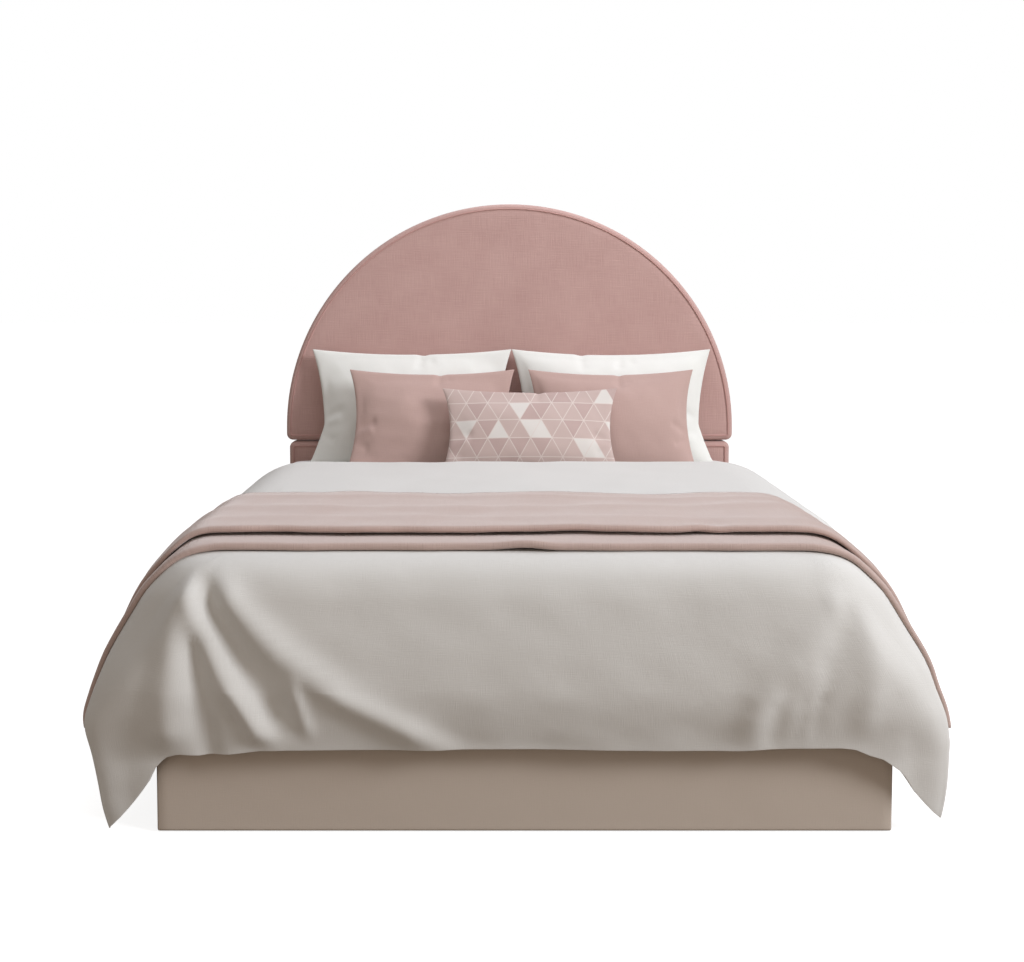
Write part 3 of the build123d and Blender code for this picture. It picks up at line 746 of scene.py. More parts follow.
    def above_base(self, line: np.ndarray) -> np.ndarray:
        """The part of the lower panel's line above the base, from its right end over the top to its left.

        Args:
            line: the closed outline.

        Returns:
            Points across and up, in order.
        """
        line = line[line[:, 1] > self.piping_low]
        right, left = line[line[:, 0] > 0], line[line[:, 0] <= 0]
        right = right[np.lexsort((-right[:, 0], right[:, 1]))]
        left = left[np.lexsort((-left[:, 0], -left[:, 1]))]
        return np.concatenate([right, left])

    def build(self, cloth: bpy.types.Material, trim: bpy.types.Material) -> None:
        """Make both covers and their piping.

        Args:
            cloth: the covers' finish.
            trim: the piping's finish.
        """
        panels = (("dome", self.dome, (0.0, 0.9)), ("lower_panel", self.panel, (0.0, 0.35)))
        for name, outline, middle in panels:
            cover = make_piece(f"{name}_upholstery", [self.shell(outline, middle)], cloth, "headboard_cloth")
            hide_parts(f"{name}_cover")
            line = outline(self.piping_inset)
            if name == "lower_panel":
                line = self.above_base(line)
            piping = make_piece(f"{name}_piping", [self.piping(line)], trim, "headboard_welt")
            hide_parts(f"{name}_welt")


@dataclass
class Base:
    """Cloth covers over the rails, down to the floor, with soft edges and a faint seam near each edge."""

    foot: float = -1.044
    head: float = 1.016
    half: float = 0.78
    well: float = 0.758
    board_foot: float = -1.038
    board: float = 0.016
    side_start: float = 0.0062
    top: float = 0.33
    low: float = 0.004
    edge: float = 0.005
    fold: float = 0.0025
    fold_low: float = 0.28
    fold_rise: float = 0.0005
    flat_from: float = 0.012
    flat_over: float = 0.008
    fade: float = 0.02
    seam_inset: float = 0.0105
    seam_low: float = 0.008
    seam_width: float = 0.0012
    seam_depth: float = 0.0007
    seam_end: float = 0.002
    unevenness: float = 0.0005
    cloth: float = 0.0015
    end_steps: tuple[float, ...] = (0.0, 0.0008, 0.002, 0.0035)

    def profile(self, inner: float, outer: float) -> tuple[np.ndarray, np.ndarray]:
        """The line from the fold inside the rail over its top and down its face to the turn below it.

        Args:
            inner: where the rail's inside is, across it.
            outer: where the cover's face is.

        Returns:
            The line's places across the rail and up.
        """
        sign = math.copysign(1, outer - inner)
        turn = np.radians(np.linspace(90, 0, 7))
        heights = np.linspace(self.top - self.edge, self.low + self.edge, 46)[1:-1]
        across = np.concatenate([
            [inner - sign * self.fold] * 2, np.linspace(inner, outer - sign * self.edge, 4)[:-1],
            outer - sign * self.edge * (1 - np.cos(turn)), np.full(len(heights), outer),
            outer - sign * self.edge * (1 - np.cos(turn[::-1])), [inner],
        ])
        up = np.concatenate([
            [self.fold_low, self.top - self.fold_rise], np.full(3, self.top),
            self.top - self.edge * (1 - np.sin(turn)), heights,
            self.low + self.edge * (1 - np.sin(turn[::-1])), [self.low],
        ])
        return across, up

    def cover(self, inner: float, outer: float, start: float, end: float, along_x: bool, seed: int) -> tuple:
        """A rail's cover: its profile carried from start to end, with rounded ends and a slight unevenness.

        Args:
            inner: where the rail's inside is, across it.
            outer: where the cover's face is.
            start: where the cover begins along the rail.
            end: where it ends.
            along_x: whether the rail runs across the bed.
            seed: which unevenness it gets.

        Returns:
            The grid of points and its surface coordinates: along the rail and over its profile.
        """
        across, up = self.profile(inner, outer)
        ends = np.array(self.end_steps)
        run = np.linspace(start, end, 140 if along_x else 170)
        run = np.concatenate([start + ends, run[2:-2], end - ends[::-1]])
        near = np.minimum(run - start, end - run)[:, None]
        corner = np.clip(1 - near / self.edge, 0, 1)
        draw = self.edge * (1 - np.sqrt(1 - corner ** 2))
        sign = math.copysign(1, outer - inner)
        flat = np.clip((np.abs(across - inner) - self.flat_from) / self.flat_over, 0, 1)[None, :]
        r, u = np.meshgrid(run, up, indexing="ij")
        face = flat * ease((u - self.low) / self.fade) * ease((self.top - u) / self.fade)
        upright = bell(near - self.seam_inset, self.seam_width)
        level = bell(u - self.low - self.seam_low, self.seam_width) * (near > self.seam_end)
        seams = self.seam_depth * np.maximum(upright, level) * flat
        relief = self.unevenness * (ripple(r, u, seed) - 1) * face - seams
        side = across[None, :] - sign * draw * flat + sign * relief
        grid = np.stack([r, side, u] if along_x else [side, r, u], axis=-1)
        return grid, np.stack([r, u + np.abs(side)], axis=-1)

    def dress(self, name: str, node: str, grid: tuple, cloth: bpy.types.Material,
              outward: np.ndarray) -> None:
        """Put one cover over its rail.

        Args:
            name: the piece's name.
            node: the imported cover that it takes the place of.
            grid: its points and surface coordinates.
            cloth: its finish.
            outward: the way its face looks, away from the rail.
        """
        piece = make_piece(name, [grid], cloth, "base_cloth", outward=False)
        biggest = max(piece.data.polygons, key=lambda face: face.area)
        if np.dot(biggest.normal, outward) < 0:
            piece.data.flip_normals()
        thicken(piece, self.cloth)
        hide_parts(node)

    def build(self, cloth: bpy.types.Material) -> None:
        """Make the foot cover and the two side covers.

        Args:
            cloth: their finish.
        """
        foot = self.cover(self.board_foot + self.board, self.foot, -self.half, self.half, True, 11)
        self.dress("foot_upholstery", "foot_cover", foot, cloth, np.array([0, -1, 0]))
        for name, side in (("left", -1), ("right", 1)):
            start = self.foot + self.side_start
            cover = self.cover(side * self.well, side * self.half, start, self.head, False, 12 + side)
            self.dress(f"side_upholstery_{name}", f"side_cover_{name}", cover, cloth, np.array([side, 0, 0]))


@dataclass
class Drape:
    """The duvet's outer face: a flat top, rounded shoulders, and a hanging skirt with a point at each corner.

    Each table pairs a height above the floor with a length there, except the two hems, which pair a place
    across the bed with the hem's height.
    """

    side_line: float = 0.65
    foot_line: float = -1.024
    side_out: float = 0.26
    side_fall: float = 0.27
    side_centre: float = 0.33
    foot_radius: float = 0.085
    foot_centre: float = 0.515
    top: float = 0.6
    top_dip: float = 0.001
    top_ripple: float = 0.004
    top_wave: float = 0.7
    top_from_side: float = 0.25
    top_from_foot: float = 0.2
    head: float = 0.566
    roll: float = 0.05
    roll_drop: float = 0.024
    roll_share: float = 0.998
    fullest: float = 0.27
    crowding: float = 1.35
    evenness: float = 0.65
    rounds: Table = ((0.3, 0.205), (0.5, 0.2), (0.56, 0.15), (0.59, 0.09), (0.6, 0.07))
    nose_set: float = 0.06
    nose_angles: tuple[float, ...] = (-10, 30, 70)
    side_run: float = 0.23
    side_bow: float = 0.005
    foot_run: float = 0.2
    foot_bow: float = 0.009
    noses: Table = ((0.01, 0.006), (0.06, 0.011), (0.13, 0.019), (0.2, 0.028), (0.27, 0.034), (0.6, 0.036))
    shapes: Table = (
        (0.02, 0.95), (0.12, 1.0), (0.27, 1.0), (0.33, 0.86), (0.413, 0.44), (0.489, 0.18), (0.548, 0.05),
        (0.6, 0.0))
    reaches_left: Table = (
        (0.01, -0.027), (0.049, -0.016), (0.113, -0.006), (0.176, 0.004), (0.25, 0.018), (0.30, 0.009),
        (0.35, -0.002), (0.42, -0.004), (0.6, 0.0))
    reaches_right: Table = (
        (0.03, -0.026), (0.07, -0.019), (0.113, -0.015), (0.176, -0.014), (0.26, -0.014), (0.32, -0.02),
        (0.42, -0.01), (0.6, 0.0))
    hem_left: Table = (
        (0.0, 0.196), (0.3, 0.195), (0.549, 0.195), (0.616, 0.186), (0.678, 0.182), (0.725, 0.186),
        (0.751, 0.178), (0.775, 0.152), (0.79, 0.122), (0.811, 0.093), (0.832, 0.065), (0.853, 0.041),
        (0.872, 0.022), (0.886, 0.008))
    hem_right: Table = (
        (0.0, 0.196), (0.3, 0.193), (0.448, 0.193), (0.552, 0.199), (0.656, 0.2), (0.688, 0.196),
        (0.719, 0.182), (0.75, 0.172), (0.787, 0.145), (0.8, 0.13), (0.819, 0.099), (0.841, 0.073),
        (0.862, 0.051), (0.884, 0.032))
    hem_search: tuple[float, float] = (0.26, 0.006)
    hem_rise: float = 0.3
    hem_bend: float = 0.8
    tip_lift: float = 0.004
    side_hem: float = 0.198
    press_left: tuple[float, float] = (0.004, 0.034)
    press_right: tuple[float, float] = (0.042, 0.068)
    press_from: float = -0.3
    press_over: float = 0.14
    press_face: float = -1.06
    press_depth: float = 0.13
    press_half: float = 0.6
    heights_left: Table = (
        (0.2, 0.0), (0.27, 0.25), (0.34, 0.7), (0.42, 1.15), (0.5, 1.1), (0.56, 0.7), (0.585, 0.2),
        (0.6, -0.3))
    heights_right: Table = (
        (0.2, 0.0), (0.27, 0.25), (0.34, 0.65), (0.42, 1.1), (0.5, 1.15), (0.56, 1.1), (0.585, 0.95),
        (0.6, 0.8))
    facing_over: float = 0.1
    lower_over: float = 0.03
    belly: float = 0.016
    belly_low: float = 0.17
    belly_span: float = 0.37
    tuck: float = 0.02
    tuck_from: float = 0.335
    tuck_over: float = 0.16
    side_waves: tuple[tuple[float, float, float], ...] = ((0.008, 15.0, 0.0), (0.004, 31.0, 1.0))
    wave_from: float = 0.42
    wave_over: float = 0.2
    unevenness: float = 0.0022
    uneven_wave: float = 0.35
    creases: tuple[Crease, ...] = (
        Crease(((-0.712, 0.585), (-0.724, 0.45), (-0.736, 0.32), (-0.748, 0.16)), 0.042, 0.021),
        Crease(((-0.69, 0.475), (-0.678, 0.37), (-0.667, 0.29), (-0.658, 0.2), (-0.652, 0.12)),
               0.023, -0.014),
        Crease(((-0.708, 0.575), (-0.669, 0.458), (-0.607, 0.328), (-0.555, 0.236), (-0.496, 0.193)),
               0.023, 0.017),
        Crease(((-0.675, 0.575), (-0.64, 0.49), (-0.581, 0.386), (-0.522, 0.295), (-0.488, 0.225)),
               0.028, -0.018),
        Crease(((-0.66, 0.58), (-0.60, 0.50), (-0.503, 0.406), (-0.373, 0.308), (-0.242, 0.236),
                (-0.12, 0.18)), 0.03, 0.019),
        Crease(((-0.49, 0.38), (-0.467, 0.295), (-0.443, 0.205)), 0.014, 0.01),
        Crease(((-0.63, 0.33), (-0.60, 0.265), (-0.58, 0.22)), 0.012, -0.006),
        Crease(((-0.25, 0.24), (-0.05, 0.2), (0.2, 0.19)), 0.03, -0.004),
        Crease(((0.66, 0.55), (0.636, 0.483), (0.559, 0.394), (0.489, 0.304), (0.45, 0.19)), 0.036, 0.011),
        Crease(((0.68, 0.53), (0.655, 0.46), (0.63, 0.4), (0.59, 0.3), (0.575, 0.2)), 0.024, -0.009),
        Crease(((0.615, 0.4), (0.59, 0.31), (0.578, 0.19)), 0.016, 0.006),
        Crease(((0.56, 0.38), (0.52, 0.29), (0.505, 0.17)), 0.026, -0.006),
        Crease(((0.735, 0.55), (0.72, 0.40), (0.70, 0.2)), 0.034, 0.008),
    )

    def reach_at(self, out: float, fall: float, centre: float, z: np.ndarray) -> np.ndarray:
        """How far a shoulder stands out at a height: an ellipse above its centre, all of it below."""
        rise = np.clip((z - centre) / fall, 0, 1)
        return out * np.sqrt(1 - rise ** 2)

    def corner(self, z: np.ndarray, reaches: Table) -> np.ndarray:
        """Seven points round the right corner at each height: a plain rounding turned by shares into a point.

        Args:
            z: the heights.
            reaches: how far the point stands out past the side at each height.

        Returns:
            Plan points (heights, 7, 2).
        """
        side = self.side_line + self.reach_at(self.side_out, self.side_fall, self.side_centre, z)
        foot = self.foot_line - self.reach_at(self.foot_radius, self.foot_radius, self.foot_centre, z)
        out, nose_radius, r = (smooth_table(z, table) for table in (reaches, self.noses, self.rounds))
        shape = smooth_table(z, self.shapes)[..., None, None]
        plain = [(side - r + r * math.cos(a), foot + r - r * math.sin(a))
                 for a in np.radians(np.arange(0, 91, 15))]
        nose_side, nose_foot = side + out - nose_radius, foot + self.nose_set
        nose = [(nose_side + nose_radius * math.cos(a), nose_foot - nose_radius * math.sin(a))
                for a in np.radians(self.nose_angles)]
        start, end = (side, foot + self.side_run), (side - self.foot_run, foot)
        side_middle = ((start[0] + nose[0][0]) / 2 + self.side_bow, (start[1] + nose[0][1]) / 2)
        foot_middle = ((nose[2][0] + end[0]) / 2, (nose[2][1] + end[1]) / 2 - self.foot_bow)
        folded = [start, side_middle, *nose, foot_middle, end]
        plain_points = np.stack([np.stack(p, axis=-1) for p in plain], axis=-2)
        folded_points = np.stack([np.stack(p, axis=-1) for p in folded], axis=-2)
        return plain_points + (folded_points - plain_points) * shape

    def controls(self, z: np.ndarray) -> np.ndarray:
        """Control points of the outline at each height, from the left of the head edge round to its right.

        Args:
            z: the heights.

        Returns:
            Plan points (heights, 23, 2): three down each side, seven round each corner and three between.
        """
        left = self.corner(z, self.reaches_left) * np.array([-1, 1])
        right = self.corner(z, self.reaches_right)[..., ::-1, :]
        share = np.array([0.0, 0.33, 0.66])[:, None]

        def run(x: np.ndarray, y: np.ndarray) -> np.ndarray:
            """Even points down one side, from the head edge to its corner."""
            head = np.stack([x, np.full_like(x, self.head)], axis=-1)[..., None, :]
            return head + (np.stack([x, y], axis=-1)[..., None, :] - head) * share

        left_run = run(left[..., 0, 0], left[..., 0, 1])
        right_run = run(right[..., -1, 0], right[..., -1, 1])[..., ::-1, :]
        near, far = left[..., -1:, :], right[..., :1, :]
        foot_run = near + (far - near) * np.array([0.25, 0.5, 0.75])[:, None]
        return np.concatenate([left_run, left, foot_run, right, right_run], axis=-2)

    def knots(self) -> np.ndarray:
        """Places of the control points along the outline: their own distances at the fullest height."""
        return run_length(self.controls(np.array(self.fullest)))

    def tips(self) -> tuple[float, float]:
        """Places of the left and right corner points along the outline."""
        knots = self.knots()
        return knots[LEFT_TIP], knots[RIGHT_TIP]

    def outline(self, z: np.ndarray, places: np.ndarray) -> np.ndarray:
        """Points of the outline at each height, one column for each place along it.

        Between two control points the line is a cubic. Its slope at each is the mean of the two chords
        there, each weighted by the other's length.

        Args:
            z: heights, in rows, with one column for each place.
            places: places along the outline at its fullest height.

        Returns:
            Plan points (rows, places, 2).
        """
        points = self.controls(z)
        last = points.shape[-2] - 1
        marks = np.interp(places, self.knots(), np.arange(last + 1))
        span = np.clip(marks.astype(int), 0, last - 1)
        column = np.arange(len(places))
        before, near, far, after = (points[..., column, np.clip(span + step, 0, last), :]
                                    for step in (-1, 0, 1, 2))
        gaps = [np.maximum(np.linalg.norm(q - p, axis=-1, keepdims=True), 1e-9)
                for p, q in ((before, near), (near, far), (far, after))]
        chords = [(near - before) / gaps[0], (far - near) / gaps[1], (after - far) / gaps[2]]
        leaving = (gaps[1] * chords[0] + gaps[0] * chords[1]) / (gaps[0] + gaps[1]) * gaps[1]
        arriving = (gaps[2] * chords[1] + gaps[1] * chords[2]) / (gaps[1] + gaps[2]) * gaps[1]
        plan = cubic((marks - span)[:, None], near, far, leaving, arriving)
        plan[..., 0] -= np.sign(plan[..., 0]) * self.pressed(plan[..., 0], plan[..., 1], z)
        return plan

    def pressed(self, x: np.ndarray, y: np.ndarray, z: np.ndarray) -> np.ndarray:
        """How far the throw's weight draws each shoulder in, from the foot face back to its rear edge.

        Args:
            x: places across.
            y: places along.
            z: heights.

        Returns:
            The distance inwards at each point.
        """
        under = ease((self.press_from - y) / self.press_over)
        behind = ease((y - self.press_face) / self.press_depth)
        sides = ((self.press_left, self.heights_left), (self.press_right, self.heights_right))
        left, right = ((near + (far - near) * behind) * smooth_table(z, table)
                       for (near, far), table in sides)
        return np.where(x < 0, left, right) * under * np.clip(np.abs(x) / self.press_half, 0, 1) ** 2

    def columns(self, side: int, foot: int) -> np.ndarray:
        """Places along the outline, closer together near the corners.

        Args:
            side: how many stand along each side.
            foot: how many stand across the foot, from one corner point to the other.

        Returns:
            The places in order.
        """
        end = self.knots()[-1]
        left, right = self.tips()
        share = np.linspace(0, 1, side)
        down = left * (1 - (1 - share) ** self.crowding)
        even = np.linspace(-0.5, 0.5, foot)
        waved = (1 - self.evenness) / 2 * np.sin(np.pi * even)
        across = left + (right - left) * (0.5 + self.evenness * even + waved)
        up = end - (end - right) * (1 - (1 - share[::-1]) ** self.crowding)
        return np.concatenate([down, across[1:-1], up])

    def hem(self, places: np.ndarray) -> np.ndarray:
        """Height of the lower edge at each place along the outline.

        On the foot face it is where the cloth meets the hem's own line across the bed. Behind each corner
        point it rises to the level of the sides.

        Args:
            places: places along the outline.

        Returns:
            The hem's height at each.
        """
        heights = np.linspace(*self.hem_search, 128)
        x = self.outline(np.repeat(heights[:, None], len(places), axis=1), places)[..., 0]
        line = np.where(x < 0, np.interp(-x, *zip(*self.hem_left)), np.interp(x, *zip(*self.hem_right)))
        under = heights[:, None] <= line
        first = np.where(under.any(axis=0), under.argmax(axis=0), len(heights) - 1)
        front = np.take_along_axis(line, first[None], axis=0)[0]
        left_tip, right_tip = self.tips()
        left = places < self.knots()[-1] / 2
        tip = np.where(left, self.hem_left[-1][1], self.hem_right[-1][1]) + self.tip_lift
        behind = np.abs(places - np.where(left, left_tip, right_tip))
        back = tip + (self.side_hem - tip) * np.clip(behind / self.hem_rise, 0, 1) ** self.hem_bend
        on_foot = (places > left_tip) & (places < right_tip)
        return np.where(on_foot, np.maximum(front, tip), back)

    def top_height(self, x: np.ndarray, y: np.ndarray) -> np.ndarray:
        """Height of the top: level, softly uneven, and rolled down to the sheet at its head edge.

        Args:
            x: places across.
            y: places along.

        Returns:
            The height at each.
        """
        from_side = ease((self.side_line - np.abs(x)) / self.top_from_side)
        inside = from_side * ease((y - self.foot_line) / self.top_from_foot)
        roll = np.clip((y - self.head + self.roll) / self.roll, 0, 1)
        soft = self.top_ripple * ripple(x, y, 5, 8, self.top_wave) * inside * (1 - roll)
        rolled = self.roll_drop * (1 - np.sqrt(1 - self.roll_share * roll ** 2))
        return self.top - self.top_dip * inside + soft - rolled

    def skirt(self, places: np.ndarray, rows: int) -> np.ndarray:
        """The hanging cloth: the outline at each height from the top edge down to the hem.

        The foot face gets its creases, a soft belly and a tuck above its hem, and the sides get waves.

        Args:
            places: places along the outline.
            rows: how many rows hang below the rounded shoulder.

        Returns:
            The grid of points (rows, places, 3).
        """
        shoulder = self.side_centre + self.side_fall * np.cos(np.radians(np.linspace(0, 90, 22)))
        down = np.linspace(0, 1, rows + 1)[1:, None]
        z = np.concatenate([np.repeat(shoulder[:, None], len(places), axis=1),
                            self.side_centre + (self.hem(places)[None, :] - self.side_centre) * down])
        plan = self.outline(z, places)
        x, y = plan[..., 0], plan[..., 1]
        left_tip, right_tip = self.tips()
        facing = ease((places - left_tip) / self.facing_over) * ease((right_tip - places) / self.facing_over)
        lower = ease((self.top - z) / self.lower_over)
        for crease in self.creases:
            y = y - crease.relief(x, z) * facing * lower
        belly = np.sin(np.pi * np.clip((z - self.belly_low) / self.belly_span, 0, 1))
        tuck = ease((self.tuck_from - z) / self.tuck_over)
        y = y + (self.tuck * tuck - self.belly * belly) * facing
        low = ease((self.wave_from - z) / self.wave_over)
        away = ease(np.abs(places - np.where(x < 0, left_tip, right_tip)) / self.wave_over)
        wave = sum(height * np.sin(places * turns + phase) for height, turns, phase in self.side_waves)
        x = x + np.sign(x) * wave * low * (1 - facing) * away
        y = y - self.unevenness * ripple(x, z, 8, 8, self.uneven_wave) * facing * lower
        return np.stack([x, y, z], axis=-1)

    def side_reach(self, y: np.ndarray, z: np.ndarray, sign: int) -> np.ndarray:
        """How far out one side's cloth is.

        Args:
            y: places along the bed.
            z: heights.
            sign: -1 for the left side, 1 for the right.

        Returns:
            The place across for each place along (rows) and height (columns).
        """
        knots = self.knots()
        ends = (0, knots[LEFT_TIP]) if sign < 0 else (knots[-1], knots[RIGHT_TIP])
        places = np.linspace(*ends, 120)
        lines = self.outline(np.repeat(z[:, None], len(places), axis=1), places)
        return np.stack([np.interp(y, line[::-1, 1], line[::-1, 0]) for line in lines], axis=1)


@dataclass
class Duvet:
    """A white duvet over the foot two thirds of the bed."""

    drape: Drape
    thickness: float = 0.022
    rim: float = 0.002
    side: int = 84
    foot: int = 170
    rows: int = 36
    roll_from: float = 0.4
    roll_over: float = 0.2
    hem_loft: float = 0.3
    hem_over: float = 0.09
    tip_loft: float = 0.35
    tip_out: tuple[float, float] = (0.82, 0.07)
    tip_front: tuple[float, float] = (-0.95, 0.08)
    tip_below: tuple[float, float] = (0.42, 0.12)
    least_loft: float = 0.05

    def top(self, left: np.ndarray, front: np.ndarray, right: np.ndarray) -> np.ndarray:
        """The top between its three hanging edges: each point is the sum of the two sheets drawn between
        opposite edges, less the one drawn between the corners.

        Args:
            left: plan points from the head to the foot.
            front: plan points from the left to the right.
            right: plan points from the head to the foot.

        Returns:
            The grid of points (along, across, 3).
        """
        a = ((front[:, 0] - front[0, 0]) / (front[-1, 0] - front[0, 0]))[None, :, None]
        b = ((left[0, 1] - left[:, 1]) / (left[0, 1] - left[-1, 1]))[:, None, None]
        back = left[0] + (right[0] - left[0]) * a[0]
        sides = left[:, None] * (1 - a) + right[:, None] * a
        ends = back[None] * (1 - b) + front[None] * b
        corners = (left[0] * (1 - a) + right[0] * a) * (1 - b) + (front[0] * (1 - a) + front[-1] * a) * b
        plan = sides + ends - corners
        height = self.drape.top_height(plan[..., 0], plan[..., 1])
        return np.concatenate([plan, height[..., None]], axis=-1)

    def build(self, cloth: bpy.types.Material) -> bpy.types.Object:
        """Make the duvet: a top between three edges, and the cloth that hangs from them.

        Args:
            cloth: its finish.

        Returns:
            The new object.
        """
        places = self.drape.columns(self.side, self.foot)
        skirt = self.drape.skirt(places, self.rows)
        left, front = slice(0, self.side), slice(self.side - 1, self.side + self.foot - 1)
        right = slice(self.side + self.foot - 2, None)
        top = self.top(skirt[0, left, :2], skirt[0, front, :2], skirt[0, right, :2][::-1])
        roll = self.drape.top_height(np.zeros(skirt.shape[:2]), skirt[..., 1]) - self.drape.top
        skirt[..., 2] += np.minimum(roll, 0) * ease((skirt[..., 2] - self.roll_from) / self.roll_over)
        top[:, 0], top[:, -1], top[-1] = skirt[0, left], skirt[0, right][::-1], skirt[0, front]
        steps = np.hypot(*np.moveaxis(np.diff(skirt[..., 1:], axis=0), -1, 0))
        fall = np.concatenate([np.zeros((1, skirt.shape[1])), np.cumsum(steps, axis=0)])
        spot = np.stack([np.broadcast_to(places, fall.shape), fall], axis=-1)
        grids = [(top, top[..., :2]), (skirt, spot)]
        piece = make_piece("duvet_quilt", grids, cloth, "duvet_cotton", outward=False)
        face_up(piece)
        thicken(piece, self.thickness, self.rim)
        self.taper(piece, skirt[-1])
        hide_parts("duvet")
        return piece

    def taper(self, piece: bpy.types.Object, edge: np.ndarray) -> None:
        """Thin the quilt towards its sewn hem and at its corner points.

        Args:
            piece: the quilt, with its thickness.
            edge: points along its hem.
        """
        points = np.empty(len(piece.data.vertices) * 3)
        piece.data.vertices.foreach_get("co", points)
        x, y, z = points.reshape(-1, 3).T
        hem = edge[None, ::3]
        aside = np.hypot(x[:, None] - hem[..., 0], y[:, None] - hem[..., 1])
        near = np.min(aside + np.abs(z[:, None] - hem[..., 2]), axis=1)
        loft = self.hem_loft + (1 - self.hem_loft) * ease(near / self.hem_over)
        out = ease((np.abs(x) - self.tip_out[0]) / self.tip_out[1])
        front = ease((self.tip_front[0] - y) / self.tip_front[1])
        tip = out * front * ease((self.tip_below[0] - z) / self.tip_below[1])
        loft *= 1 - (1 - self.tip_loft) * tip
        group = piece.vertex_groups.new(name="Loft")
        for index, weight in enumerate(loft.tolist()):
            group.add([index], weight, "REPLACE")
        solid = piece.modifiers["Thickness"]
        solid.vertex_group, solid.thickness_vertex_group = group.name, self.least_loft


def face_up(piece: bpy.types.Object) -> None:
    """Turn an open cloth's faces to its upper side, all the same way round.

    Args:
        piece: the cloth.
    """
    work = bmesh.new()
    work.from_mesh(piece.data)
    bmesh.ops.recalc_face_normals(work, faces=work.faces)
    total = sum((f.normal.z * f.calc_area() for f in work.faces), 0.0)
    if total < 0:
        bmesh.ops.reverse_faces(work, faces=work.faces)
    work.to_mesh(piece.data)
    work.free()


